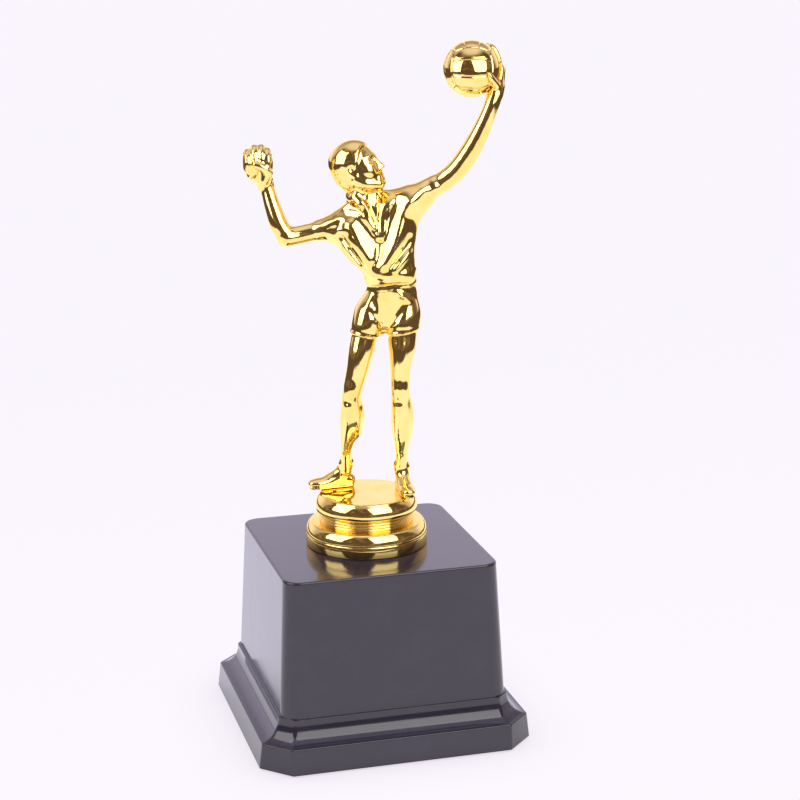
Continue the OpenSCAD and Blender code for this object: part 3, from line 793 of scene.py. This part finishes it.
# %% Legs and shoes
def model_legs(clay):
    clay.add(tube([(0.5, 0.7, 49, 3.6, 3.9), (-0.1, 0.1, 46, 3.65, 3.9),
                   (-0.7, -0.5, 43, 3.65, 3.8), (-1.4, -1.0, 40, 3.4, 3.5),
                   (-2.1, -1.2, 36.6, 3.15, 3.2), (-3.4, -1.1, 31.6, 2.75, 2.9),
                   (-4.0, -0.6, 27.6, 2.75, 2.8), (-4.0, 0.5, 22.6, 3.2, 3.1),
                   (-4.9, 2.1, 17, 2.4, 2.5), (-5.6, 3.5, 12.4, 1.75, 1.95),
                   (-5.8, 4.5, 8.6, 1.65, 2.0), (-5.8, 5.0, 5.6, 1.8, 2.1)]), 0.5)
    clay.add(tube([(11.1, 0.7, 49, 4.1, 4.0), (10.9, 0.1, 46, 4.1, 3.9),
                   (10.8, -0.5, 43, 3.9, 3.8), (10.5, -1.0, 40, 3.3, 3.5),
                   (10.3, -1.2, 36.6, 2.9, 3.2), (10.15, -1.2, 31.6, 2.65, 2.9),
                   (10.4, -0.8, 27.6, 2.8, 2.8), (10.6, -0.1, 22, 2.95, 3.1),
                   (10.6, 0.6, 16.6, 2.65, 2.5), (10.5, 1.4, 12.4, 1.95, 2.0),
                   (10.4, 2.0, 8.6, 1.75, 2.0), (10.4, 2.4, 5.6, 1.8, 2.1)]), 0.5)
    for x, y, z, calf_x, calf_y in ((-3.4, -1.1, 31.2, -3.3, 1.9), (10.1, -1.2, 31.2, 10.9, 1.2)):
        clay.add(egg((x, y - 1.1, z), (1.4, 1.7, 2.2)), 2.0)
        clay.add(egg((calf_x - 0.6, calf_y + 0.6, 22.4), (1.9, 2.1, 5.8)), 2.4)
        clay.add(egg((calf_x + 0.8, calf_y + 0.5, 22.9), (1.8, 2.1, 6.2)), 2.4)
    clay.add(tube([(-4.6, -2.9, 26.5, 0.8), (-5.4, -0.8, 19, 0.8), (-6.2, 1.9, 12, 0.7)]), 1.2)
    clay.add(tube([(9.8, -3.0, 26.5, 0.8), (9.9, -1.4, 19, 0.8), (9.9, 0.2, 12, 0.7)]), 1.2)
    for x, y, z in ((-7.3, 4.7, 7.2), (-4.4, 4.9, 7.6), (8.9, 2.2, 7.4), (12.1, 2.3, 7.0)):
        clay.add(egg((x, y, z), (0.7, 0.9, 1.0)), 1.4)


def model_shoe(clay, heel, toe, side):
    """A low trainer from its heel to its toe; side is the unit vector across it."""
    heel, toe, side = (np.array(v, float) for v in (heel, toe, side))
    along = toe - heel

    def at(t, up, across=0.0):
        return heel + along * t + side * across + np.array([0, 0, up])

    body = [(0.02, 2.0, 1.75, 1.95), (0.2, 2.3, 1.95, 2.1), (0.42, 2.0, 2.0, 1.9),
            (0.66, 1.75, 2.35, 1.6), (0.85, 1.6, 2.35, 1.5), (0.97, 1.5, 1.9, 1.3)]
    clay.add(tube([(*at(t, up), w, h) for t, up, w, h in body], wide=(0, 0, 1)), 1.0)
    clay.add(tube([(*at(0.16, 5.6), 1.85, 1.9), (*at(0.3, 3.9), 1.9, 1.9),
                   (*at(0.52, 2.7), 1.7, 1.5)], wide=(0, 0, 1)), 1.2)
    sole = [(-0.05, 1.65), (0.2, 1.95), (0.42, 2.0), (0.66, 2.45), (0.87, 2.35), (1.0, 1.8)]
    clay.add(tube([(*at(t, 0.42), w, 0.5) for t, w in sole], wide=(0, 0, 1)), 0.3)
    for i in range(3):
        t = 0.44 + 0.08 * i
        clay.add(tube([(*at(t, 3.3 - 0.42 * i, -0.9), 0.25), (*at(t + 0.01, 3.75 - 0.42 * i), 0.25),
                       (*at(t, 3.3 - 0.42 * i, 0.9), 0.25)], wide=(0, 0, 1)), 0.4)


# %% Arms and hands
def model_arms(clay):
    clay.add(tube([(-10.6, 1.0, 77.4, 2.6, 2.7), (-15, 0.8, 76.6, 2.65, 2.7),
                   (-19.2, 0.1, 75.8, 2.65, 2.7), (-21.6, -0.5, 75.6, 2.5, 2.6)]), 0.4)
    clay.add(tube([(-21.2, -0.6, 75.6, 2.6, 2.6), (-23.5, -0.3, 79, 2.65, 2.6),
                   (-25.1, 0.4, 83.4, 2.4, 2.4), (-26.5, 1.2, 88, 2.05, 2.0),
                   (-27.4, 1.6, 91, 2.15, 1.8)]), 0.9)
    clay.add(egg((-22.6, 0.6, 74.2), (1.3, 1.3, 1.3)), 1.2)
    clay.add(tube([(18.6, 0.4, 88.9, 2.75), (23, 0.0, 91.2, 2.9), (26.6, -0.5, 94.4, 2.95),
                   (30.2, -1.4, 99.6, 2.85), (33, -2.3, 105, 2.55), (35.3, -3.1, 110.4, 2.2),
                   (36.7, -3.1, 114.2, 2.15), (37.6, -2.0, 117.4, 2.1)]), 0.4)
    clay.add(egg((29.6, 0.6, 98.4), (1.2, 1.3, 1.5)), 1.2)


def model_bent_hand(clay):
    clay.add(egg((-29.3, 1.3, 96.0), (4.2, 1.8, 5.2)), 1.2)
    clay.add(tube([(-27.4, 1.4, 90.5, 2.1, 1.8), (-28.3, 1.2, 93, 2.8, 1.9),
                   (-29.2, 1.2, 96, 3.9, 1.9)]), 1.0)
    clay.add(egg((-27.1, 0.0, 94.2), (1.5, 1.5, 2.8)), 0.6)
    clay.add(egg((-31.3, 0.2, 95.4), (1.4, 1.3, 3.2)), 0.8)
    for i, x in enumerate((-32.3, -30.3, -28.3, -26.6)):
        top = (99.2, 100.4, 100.5, 99.5)[i]
        clay.add(tube([(x, 1.8, top - 2.2, 1.2), (x + 0.05, 1.2, top - 0.1, 1.1),
                       (x + 0.15, -0.4, top + 0.1, 0.95), (x + 0.25, -1.7, top - 1.3, 0.9),
                       (x + 0.35, -1.9, top - 3.2, 0.85), (x + 0.45, -1.2, top - 4.6, 0.8)]), 0.5)
    clay.add(tube([(-27.0, -0.1, 91.6, 1.3), (-26.2, -1.4, 94.0, 1.25), (-27.6, -2.5, 95.6, 1.05),
                   (-29.8, -2.7, 96.4, 0.9)]), 0.4)
    clay.add(tube([(-31.4, -0.6, 92.8, 0.8), (-30.0, -1.1, 94.6, 0.9),
                   (-31.6, -0.9, 96.6, 0.8)]), 0.7)


def model_ball_hand(clay):
    clay.add(tube([(37.2, -2.6, 115.6, 2.0, 2.2), (38.1, -0.4, 118.8, 1.75, 2.9),
                   (38.7, 1.2, 121.6, 1.4, 3.2)]), 0.9)
    for y, reach in ((-1.6, 0.0), (0.9, 0.7), (3.2, 0.6), (5.2, -0.4)):
        bend = y * 0.35
        clay.add(tube([(38.7 - abs(y) * 0.12, y * 0.8 + 0.4, 121.4, 1.15),
                       (38.5 - abs(bend), y + 0.4, 124.2, 1.05),
                       (37.6 - abs(bend), y * 1.1 + 0.7, 126.2 + reach, 0.95),
                       (36.4 - abs(bend), y * 1.2 + 0.9, 127.6 + reach, 0.85)]), 0.4)
    clay.add(tube([(37.3, -0.8, 116.4, 1.5), (37.2, -3.6, 117.8, 1.35), (36.2, -6.2, 119.6, 1.2),
                   (34.9, -7.3, 121.6, 1.0)]), 0.7)


# %% [markdown]
# ### The head
# The head has its own axes: forward out of the face, to its right, and up through the crown. It is
# tipped back to look at the ball. The face is a plain, calm one on the proportions that drawing
# books give: eyes half-way down, nose a quarter above the chin, mouth a third of the way below it.

# %% Head, face and hair
HEAD = np.array((-1.1, 0.3, 95.3))
HEAD_SCALE = 1.06


def head_axes():
    turn, tip = math.radians(14), math.radians(23)
    forward = np.array((math.cos(turn) * math.cos(tip), -math.sin(turn) * math.cos(tip),
                        math.sin(tip)))
    right = np.cross(forward, (0, 0, 1))
    right /= np.linalg.norm(right)
    return np.array([forward, right, np.cross(right, forward)])


AXES = head_axes()


def on_head(forward, right, up):
    up = up * 1.17 if up < 0 else up
    return HEAD + HEAD_SCALE * (AXES[0] * forward + AXES[1] * right + AXES[2] * up)


def in_head_frame(x, y, z):
    """Distances forward, to the right and up from the middle of the head."""
    return [AXES[i][0] * (x - HEAD[0]) + AXES[i][1] * (y - HEAD[1]) + AXES[i][2] * (z - HEAD[2])
            for i in range(3)]


def head_egg(place, size):
    return egg(on_head(*place), [HEAD_SCALE * s for s in size], AXES)


def head_tube(rows, wide=1):
    return tube([(*on_head(*row[:3]), *(HEAD_SCALE * r for r in row[3:])) for row in rows],
                wide=tuple(AXES[wide]))


def model_neck(clay):
    clay.add(tube([(2.6, 1.0, 80.5, 3.7), (1.0, 1.0, 84.5, 3.55), (-0.4, 0.9, 87.5, 3.35),
                   (-1.5, 0.8, 91.4, 3.5)]), 0.8)
    clay.add(tube([(-1.4, 1.0, 85.4, 2.2), (-3.6, 1.0, 83.0, 2.3), (-6.2, 1.0, 80.6, 2.6)]), 1.0)
    clay.add(tube([(1.2, 1.3, 85.6, 2.7), (5.0, 1.1, 86.1, 2.4), (9.4, 0.8, 86.2, 2.4)]), 1.4)
    clay.add(tube([(3.4, -1.9, 83.4, 0.9), (0.2, -2.1, 88.4, 0.95), (-2.8, -2.2, 91.6, 1.0)]), 1.6)


def model_face(clay):
    clay.add(head_egg((-0.9, 0, 1.6), (5.9, 4.7, 5.2)), 1.0)
    clay.add(head_egg((1.4, 0, -1.4), (4.1, 4.1, 5.6)), 1.6)
    for s in (-1, 1):
        clay.add(head_tube([(-0.9, s * 3.4, -2.4, 1.3), (1.2, s * 3.0, -4.3, 1.25),
                            (3.4, s * 1.2, -5.4, 1.2)]), 1.8)
        clay.add(head_egg((2.9, s * 2.5, -1.5), (1.6, 1.5, 1.6)), 1.6)
        clay.add(head_tube([(4.9, s * 0.5, 1.25, 0.45), (4.45, s * 1.8, 1.45, 0.45),
                            (3.2, s * 3.0, 1.15, 0.4)]), 1.0)
        clay.cut(head_egg((5.35, s * 1.75, 0.25), (1.0, 0.95, 0.6)), 0.8)
        clay.add(head_egg((3.95, s * 1.75, 0.1), (0.9, 0.9, 0.62)), 0.3)
    clay.add(head_egg((3.9, 0, -5.3), (1.25, 1.5, 1.2)), 1.2)
    clay.add(head_tube([(4.75, 0, 0.8, 0.6), (5.5, 0, -0.8, 0.62), (6.15, 0, -2.0, 0.75)]), 0.9)
    for s in (-1, 1):
        clay.add(head_egg((5.4, s * 0.75, -2.25), (0.6, 0.45, 0.45)), 0.4)
    clay.add(head_egg((4.55, 0, -3.7), (0.95, 1.6, 1.2)), 1.0)
    clay.add(head_tube([(4.75, -1.3, -3.7, 0.25), (5.45, 0, -3.45, 0.36), (4.75, 1.3, -3.7, 0.25)],
                       wide=2), 0.35)
    clay.add(head_tube([(4.7, -1.15, -4.1, 0.28), (5.3, 0, -4.3, 0.4),
                        (4.7, 1.15, -4.1, 0.28)], wide=2), 0.35)


def model_ear(clay, s):
    """An oval shell with a rolled rim and a lobe."""
    clay.add(head_egg((-0.5, s * 4.25, -0.2), (1.1, 0.5, 1.7)), 0.4)
    rim = [(-0.2, 4.6, -1.9), (0.35, 4.7, -0.4), (0.3, 4.8, 1.1), (-0.6, 5.05, 1.6),
           (-1.5, 5.1, 0.9), (-1.5, 5.0, -0.4), (-0.9, 4.85, -1.5)]
    clay.add(head_tube([(f, s * r, u, 0.34) for f, r, u in rim]), 0.25)
    clay.cut(head_egg((-0.45, s * 5.15, 0.1), (0.5, 0.5, 0.8)), 0.3)


def model_hair(clay):
    """A short cap of hair: a shell over the skull, cut back from the face along the hairline."""
    shell, low, high = head_egg((-1.0, 0, 1.8), (6.6, 5.45, 5.75))
    nape, nape_low, nape_high = head_egg((-2.8, 0, -0.9), (4.4, 4.5, 4.9))

    def distance(x, y, z):
        q = in_head_frame(x, y, z)
        top, back = shell(x, y, z), nape(x, y, z)
        blend = np.maximum(1.2 - np.abs(top - back), 0) / 1.2
        cap = np.minimum(top, back) - blend * blend * 0.3
        line = 0.83 * q[0] - 0.56 * q[2] - 0.8 - 0.35 * np.cos(q[1] * 0.9)
        mix = np.maximum(0.3 - np.abs(cap - line), 0) / 0.3
        return np.maximum(cap, line) + mix * mix * 0.075

    clay.add((distance, np.minimum(low, nape_low), np.maximum(high, nape_high)), 0.15)


def comb_hair(clay):
    """Fine locks, combed from the crown and strongest round the back and the nape."""
    def amount(x, y, z):
        q = in_head_frame(x, y, z)
        round_it = np.arctan2(q[1], -(q[0] - 1.2))
        fall = np.hypot(q[0] - 0.5, q[1])
        waves = np.sin(round_it * 17 + 0.9 * np.sin(q[2] * 1.3)) + 0.6 * np.sin(
            round_it * 29 + q[2] * 2.1)
        behind = ease(0.56 * q[2] - 0.83 * q[0] + 0.4, 0.0, 0.9)
        low_down = ease(-q[2], -2.6, 1.6) * 0.07 + 0.014
        out = ease(np.sqrt(q[0] ** 2 + q[1] ** 2 + q[2] ** 2), 4.2, 4.9)
        return waves * behind * low_down * out * ease(fall, 1.5, 3.5)

    reach = 8.5
    clay.raise_by(amount, HEAD - reach, HEAD + reach)


# %% [markdown]
# ### From distances to a mesh
# The surface is drawn through the grid's zero points, then each vertex is slid along the slope of
# the distances until it sits exactly on the surface, which keeps a mirror finish free of ripples.

# %% Skin the clay
def sample(clay, points):
    """Distances at any points, by blending the eight grid values round each."""
    q = (points - clay.low) / clay.step
    limit = np.array(clay.field.shape) - 2
    base = np.clip(np.floor(q).astype(int), 0, limit)
    f = q - base
    total = np.zeros(len(points))
    for dx in (0, 1):
        for dy in (0, 1):
            for dz in (0, 1):
                weight = (np.where(dx, f[:, 0], 1 - f[:, 0]) * np.where(dy, f[:, 1], 1 - f[:, 1])
                          * np.where(dz, f[:, 2], 1 - f[:, 2]))
                total += weight * clay.field[base[:, 0] + dx, base[:, 1] + dy, base[:, 2] + dz]
    return total


def skin(clay):
    grid = openvdb.FloatGrid(2.0)
    grid.copyFromArray(np.clip(clay.field, -2, 2))
    grid.transform = openvdb.createLinearTransform(voxelSize=clay.step)
    points, quads = grid.convertToQuads(isovalue=0.0)
    points = points.astype(float) + clay.low
    e = clay.step * 0.5
    for _ in range(2):
        slope = np.stack([sample(clay, points + d) - sample(clay, points - d)
                          for d in np.eye(3) * e], 1) / (2 * e)
        length = np.maximum((slope ** 2).sum(1), 0.2)
        points -= slope * (sample(clay, points) / length)[:, None] * 0.8
    return points, quads


def drop_specks(points, quads):
    """Keeps the one big surface and drops any speck that a cut has left loose."""
    label = np.arange(len(points))
    while True:
        lowest = label.copy()
        np.minimum.at(lowest, quads.ravel(), np.repeat(label[quads].min(1), 4))
        lowest = lowest[lowest]
        if (lowest == label).all():
            break
        label = lowest
    kept = label == np.bincount(label).argmax()
    number = np.cumsum(kept) - 1
    return points[kept], number[quads[kept[quads[:, 0]]]]


def smooth_points(points, quads, rounds, amount):
    """Relaxes vertices a little, then puts the same amount back, so that nothing shrinks."""
    edges = np.vstack([quads[:, [i, (i + 1) % 4]] for i in range(4)])
    edges = np.vstack([edges, edges[:, ::-1]])
    count = np.bincount(edges[:, 0], minlength=len(points))[:, None]
    for i in range(rounds * 2):
        total = np.zeros_like(points)
        for axis in range(3):
            total[:, axis] = np.bincount(edges[:, 0], points[edges[:, 1], axis], len(points))
        factor = amount if i % 2 == 0 else -amount * 1.04
        points = points + factor * (total / np.maximum(count, 1) - points)
    return points


def gaussian(clay):
    """A light blur that takes the hard corners off creases, as plating does."""
    field = clay.field
    for axis in range(3):
        field = (np.roll(field, 1, axis) + np.roll(field, -1, axis) + 2 * field) / 4
    clay.field = field


# %% Model the figure
ball_low, ball_high = (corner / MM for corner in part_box("ball"))
BALL_R = (ball_high.x - ball_low.x) / 2
SOLE_Z = disc_high.z
ROUGH_STEP, FINE_STEP = 0.7, 0.32      # millimetres between the clay's points


def in_figure_frame(point):
    x, y = point.x, point.y
    c, s = math.cos(-FIGURE_TURN), math.sin(-FIGURE_TURN)
    return Vector((x * c - y * s, x * s + y * c, point.z - SOLE_Z))


def model_player():
    clay = Clay((-36, -12, -1), (42, 12, 133), FINE_STEP)
    model_shorts(clay)
    press(clay, SHORTS_FOLDS)
    trim_shorts(clay)
    model_shirt(clay)
    press(clay, FRONT_FOLDS)
    press(clay, BACK_FOLDS)
    model_neck(clay)
    model_shirt_collar(clay)
    press(clay, PLACKET)
    model_hem_band(clay)
    hem_ring(clay, (0.3, -0.2, 47.6), (4.15, 4.9), -0.16)
    hem_ring(clay, (11.2, -0.2, 48.3), (4.6, 4.9), 0.15)
    model_legs(clay)
    model_shoe(clay, (-4.7, 6.5, 0), (-16.2, 3.4, 0), (0.26, 0.965, 0))
    model_shoe(clay, (10.0, 4.6, 0), (12.6, -6.8, 0), (0.975, 0.222, 0))
    model_arms(clay)
    model_bent_hand(clay)
    model_ball_hand(clay)
    model_face(clay)
    model_hair(clay)
    comb_hair(clay)
    model_ear(clay, 1)
    model_ear(clay, -1)
    centre = in_figure_frame(Vector(((ball_low + ball_high) / 2)))
    clay.cut(egg(tuple(centre), (BALL_R + 0.03,) * 3), 0.05)
    clay.field = np.maximum(clay.field, -clay.axes[2][None, None, :].astype(np.float32))
    gaussian(clay)
    points, quads = drop_specks(*skin(clay))
    points = smooth_points(points, quads, 1, 0.5)
    c, s = math.cos(FIGURE_TURN), math.sin(FIGURE_TURN)
    turned = np.stack([points[:, 0] * c - points[:, 1] * s,
                       points[:, 0] * s + points[:, 1] * c, points[:, 2] + SOLE_Z], 1)
    player = new_piece("player", turned.tolist(), [tuple(int(i) for i in q) for q in quads], gold,
                       "figure")
    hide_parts("figure_front_shell", "figure_back_shell")
    return player


player = model_player()
print("player:", len(player.data.polygons), "quads")


# %% [markdown]
# ## The ball
# A volleyball has six faces of three strips each, and the strips of neighbouring faces cross. That
# is a rule, so Geometry Nodes draws it: for every point of a fine sphere the nodes find how far the
# nearest seam is, and press the surface in there.

# %% Seams of the ball
BALL_LEAN = (-16, 7)                   # how far the ball's panels are turned and tipped, in degrees
SEAM_WIDTH, SEAM_DEPTH = 0.00038, 0.0002       # metres
ROUGH_SPHERE, FINE_SPHERE = 5, 7       # subdivisions


def seam_nodes():
    tree = bpy.data.node_groups.new("ball_seams", "GeometryNodeTree")
    sockets = {}
    for name, kind, way in (("Ball", "NodeSocketGeometry", "OUTPUT"),
                            ("Radius", "NodeSocketFloat", "INPUT"),
                            ("Seam width", "NodeSocketFloat", "INPUT"),
                            ("Seam depth", "NodeSocketFloat", "INPUT"),
                            ("Fineness", "NodeSocketInt", "INPUT"),
                            ("Material", "NodeSocketMaterial", "INPUT")):
        sockets[name] = tree.interface.new_socket(name=name, in_out=way, socket_type=kind)
    nodes = Nodes(tree)
    node = nodes.node
    given = node("NodeGroupInput")
    made = node("NodeGroupOutput")
    sphere = node("GeometryNodeMeshIcoSphere", Radius=given.outputs["Radius"],
                  Subdivisions=given.outputs["Fineness"])
    place = node("GeometryNodeInputPosition").outputs[0]
    turn, tip = (math.radians(a) for a in BALL_LEAN)
    across = Vector((math.cos(turn), math.sin(turn), 0))
    toward = Vector((math.sin(turn) * math.cos(tip), -math.cos(turn) * math.cos(tip),
                     math.sin(tip)))
    x, y, z = (nodes.along(place, axis).maths("ABSOLUTE")
               for axis in (across, toward, across.cross(toward)))
    most = x.maths("MAXIMUM", y).maths("MAXIMUM", z)
    least = x.maths("MINIMUM", y).maths("MINIMUM", z)
    middle = x + y + z - most - least
    edge = (most - middle) * 0.71
    strip = None
    for big, small in ((y, z), (x, y), (z, x)):
        ours = big.maths("GREATER_THAN", most * 0.9999)
        gap = (small - big * 0.333).maths("ABSOLUTE") * 0.95 + (1 - ours)
        strip = gap if strip is None else strip.maths("MINIMUM", gap)
    nearest = edge.maths("MINIMUM", strip)
    width = nodes.value(given, "Seam width")
    press_in = (1 - nearest.maths("DIVIDE", width)).maths("MAXIMUM", 0.0)
    soft = press_in * press_in * (3 - press_in * 2)
    depth = soft * nodes.value(given, "Seam depth") * -1
    inward = node("ShaderNodeVectorMath", {"operation": "SCALE"},
                  Vector=node("GeometryNodeInputNormal").outputs[0], Scale=depth)
    moved = node("GeometryNodeSetPosition", Geometry=sphere.outputs[0], Offset=inward.outputs[0])
    smooth = node("GeometryNodeSetShadeSmooth", Geometry=moved.outputs[0])
    real = node("GeometryNodeRealizeInstances", Geometry=smooth.outputs[0])
    finish = node("GeometryNodeSetMaterial", Geometry=real.outputs[0],
                  Material=given.outputs["Material"])
    tree.links.new(finish.outputs[0], made.inputs["Ball"])
    return tree, {name: socket.identifier for name, socket in sockets.items()}


def build_ball():
    tree, ids = seam_nodes()
    maker = new_object("ball_maker", bpy.data.meshes.new("ball_maker"))
    nodes = maker.modifiers.new("seams", "NODES")
    nodes.node_group = tree
    nodes[ids["Radius"]] = BALL_R * MM
    nodes[ids["Seam width"]] = SEAM_WIDTH
    nodes[ids["Seam depth"]] = SEAM_DEPTH
    nodes[ids["Fineness"]] = FINE_SPHERE
    nodes[ids["Material"]] = gold
    mesh = bpy.data.meshes.new_from_object(
        maker.evaluated_get(bpy.context.evaluated_depsgraph_get()))
    bpy.data.objects.remove(maker)
    centre = (ball_low + ball_high) / 2 * MM
    for vertex in mesh.vertices:
        vertex.co += centre
    ball = new_object("volleyball", mesh)
    if not mesh.materials:
        mesh.materials.append(gold)
    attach(ball, "figure")
    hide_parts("ball")
    return ball


ball = build_ball()
print("ball:", len(ball.data.polygons), "faces")


# %% [markdown]
# ## What the base hides
# Turn the trophy over and there is a plate with four screws and four rubber feet. The cast weight
# and the end of the bolt are behind it. The CAD model of these is detailed enough, so they only
# need their materials. The closed mesh of the base encloses the weight and the bolt's end, so they
# are seen only with that mesh hidden.

# %% Materials for the working parts
def cast_iron():
    material, shader = new_material("cast_weight")
    grains = shader.noise(900, 5, 0.7)
    rust = shader.smooth(shader.noise(120, 4, 0.6), 0.55, 0.72)
    shader.surface(Base_Color=shader.blend(rust, (0.11, 0.11, 0.115), (0.16, 0.085, 0.045)),
                   Metallic=0.6 - rust * 0.5, Roughness=rust * 0.3 + 0.55,
                   Normal=shader.bump(grains, 0.0002, 0.8))
    return material


def zinc_steel():
    material, shader = new_material("zinc_steel")
    spangle = shader.noise(1500, 3)
    shader.surface(Base_Color=shader.blend(spangle, (0.6, 0.61, 0.63), (0.74, 0.74, 0.72)),
                   Metallic=1.0, Roughness=spangle * 0.2 + 0.2,
                   Normal=shader.bump(spangle, 0.00005, 0.4))
    return material


def pad_rubber():
    material, shader = new_material("pad_rubber")
    dust = shader.smooth(shader.noise(1400, 5, 0.7), 0.5, 0.8)
    shader.surface(Base_Color=shader.blend(dust, (0.03, 0.03, 0.032), (0.09, 0.088, 0.085)),
                   Roughness=dust * 0.2 + 0.7, Normal=shader.bump(dust, 0.0001, 0.6))
    return material


def textured_cover():
    material, shader = new_material("cover_black")
    cells = shader.node("ShaderNodeTexVoronoi", Vector=shader.place(), Scale=1800.0)
    leather = shader.value(cells, "Distance")
    shader.surface(Base_Color=shader.blend(leather, (0.02, 0.02, 0.022), (0.035, 0.034, 0.037)),
                   Roughness=leather * 0.2 + 0.42, Normal=shader.bump(leather, 0.00008, 0.6))
    return material


def dress(names, material):
    for name in names:
        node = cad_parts[name]
        node.data.materials.clear()
        node.data.materials.append(material)
        print(name, "wears", material.name)


dress(("weight_block",), cast_iron())
dress(("captive_nut", "centre_bolt", "flat_washer", "spring_washer", "cover_screws"), zinc_steel())
dress(("foot_pads",), pad_rubber())
dress(("bottom_cover",), textured_cover())


# %% [markdown]
# ## Studio
# A mirror shows its surroundings, so the studio is half of the gold's material. The object stands
# in a small white tent: pale floor, pale backdrop, two tall soft panels either side of the opening
# for the camera, and the darker room beyond that opening.

# %% Floor, backdrop and lights
ROOM = (0.115, 0.08, 0.065)            # the unlit room outside the tent
CLUTTER = (0.3, 0.21, 0.17)            # the lighter things in it
TENT_BACK = (1.25, 1.14, 1.42)         # the lit wall behind the object
TENT_HIGH = (0.42, 0.35, 0.36)         # the same wall, further up
TENT_SIDE = (0.6, 0.52, 0.54)
TENT_TOP = (0.9, 0.83, 0.98)
BACKDROP = (0.949, 0.913, 1.0)         # the tent as the camera itself sees it
MOUTH = (0.41, 0.50)                   # the lit floor fades out between these distances in front
SIDES = (0.34, 0.42)                   # and between these to either side


def pale_floor():
    """A lit sweep of white board: even to the eye, and a soft lamp in every reflection. Both carry
    a painted contact shadow round the object.
    """
    material, shader = new_material("pale_floor")
    place = shader.place()
    split = shader.node("ShaderNodeSeparateXYZ", Vector=place)
    nearness = shader.smooth(shader.value(split, "Y"), -0.25, 0.5, 1.0, 0.0)
    seen = shader.value(shader.node("ShaderNodeLightPath"), "Is Camera Ray")
    # ambient occlusion gives a painted contact shadow: the floor's glow darkens where the object is
    # near
    contact_shadow = shader.node("ShaderNodeAmbientOcclusion", {"samples": 8}, Distance=0.02)
    shade = shader.value(contact_shadow, "AO")
    shown = shader.blend(nearness, (0.955, 0.915, 0.985), (0.985, 0.94, 0.995))
    # painted contact shadow on the floor as the camera sees it
    shown = shader.blend(shade, (0.72, 0.66, 0.74), shown)
    near = shader.smooth(shader.node("ShaderNodeVectorMath", {"operation": "LENGTH"},
                                     Vector=place).outputs["Value"], 0.16, 0.32, 1.0, 0.0)
    behind = shader.smooth(shader.value(split, "Y"), -0.05, 0.08) * near
    lamp = shader.blend(behind, (1.22, 1.17, 1.2), (1.45, 1.38, 1.62))
    # the same painted contact shadow on the floor as reflections see it
    lamp = shader.blend(shade, (0.3, 0.27, 0.32), lamp)
    toward = shader.along(place, unit_from(FIGURE_TURN, 0))
    across = shader.along(place, (math.cos(FIGURE_TURN), math.sin(FIGURE_TURN), 0))
    past_mouth = shader.smooth(toward, *MOUTH)
    past_sides = shader.smooth(across.maths("ABSOLUTE"), *SIDES)
    outside = past_mouth.maths("MAXIMUM", past_sides)
    lamp = shader.blend(outside, lamp, ROOM)
    colour = shader.blend(seen, lamp, shown)
    glow = shader.node("ShaderNodeEmission", Color=colour, Strength=1.0)
    shader.node("ShaderNodeOutputMaterial", Surface=glow.outputs[0])
    mesh = bpy.data.meshes.new("floor")
    r = 8.0
    mesh.from_pydata([(-r, -r, 0), (r, -r, 0), (r, r, 0), (-r, r, 0)], [], [(0, 1, 2, 3)])
    mesh.materials.append(material)
    floor = new_object("floor", mesh)
    return floor


def soft_panel(name, azimuth, elevation, distance, width, height, power):
    """A soft, plain rectangle of light that looks at the figure, unseen by the camera itself."""
    data = bpy.data.lights.new(name, "AREA")
    data.shape = "RECTANGLE"
    data.size = width
    data.size_y = height
    data.energy = power
    data.color = (1.0, 0.985, 0.97)
    panel = new_object(name, data)
    away = unit_from(FIGURE_TURN + math.radians(azimuth), math.radians(elevation))
    aim = Vector((0, 0, 0.1))
    panel.location = aim + away * distance
    panel.rotation_euler = away.to_track_quat("Z", "Y").to_euler()
    panel.visible_camera = False
    return panel


def tent_world():
    """The tent as a world: pale behind, dimmer overhead, and a dark room towards the camera."""
    world = bpy.data.worlds.new("tent")
    bpy.context.scene.world = world
    shader = Shader(world)
    place = shader.node("ShaderNodeTexCoord").outputs["Generated"]
    split = shader.node("ShaderNodeSeparateXYZ", Vector=place)
    front = shader.along(place, unit_from(FIGURE_TURN, 0))
    up = shader.value(split, "Z")
    room = shader.smooth(front + (1 - up) * 0.35, -0.12, 0.04)
    clutter = shader.value(shader.node("ShaderNodeTexNoise", Vector=place, Scale=3.5, Detail=3.0),
                           "Fac")
    dark = shader.blend(shader.smooth(clutter, 0.42, 0.7), ROOM, CLUTTER)
    back_wall = shader.blend(shader.smooth(up, 0.3, 0.62), TENT_BACK, TENT_HIGH)
    side = shader.smooth(front, -0.75, -0.35)
    back_wall = shader.blend(side, back_wall, TENT_SIDE)
    tent = shader.blend(room, back_wall, dark)
    tent = shader.blend(shader.smooth(up, 0.78, 0.97), tent, TENT_TOP)
    seen = shader.value(shader.node("ShaderNodeLightPath"), "Is Camera Ray")
    colour = shader.blend(seen, tent, BACKDROP)
    background = shader.node("ShaderNodeBackground", Color=colour, Strength=1.0)
    shader.node("ShaderNodeOutputWorld", Surface=background.outputs[0])
    return world


pale_floor()
soft_panel("left_panel", -64, 32, distance=0.30, width=0.21, height=0.27, power=0.56)
soft_panel("right_panel", 38, 32, distance=0.32, width=0.27, height=0.28, power=0.76)
tent_world()
bpy.context.scene.view_settings.view_transform = "Standard"
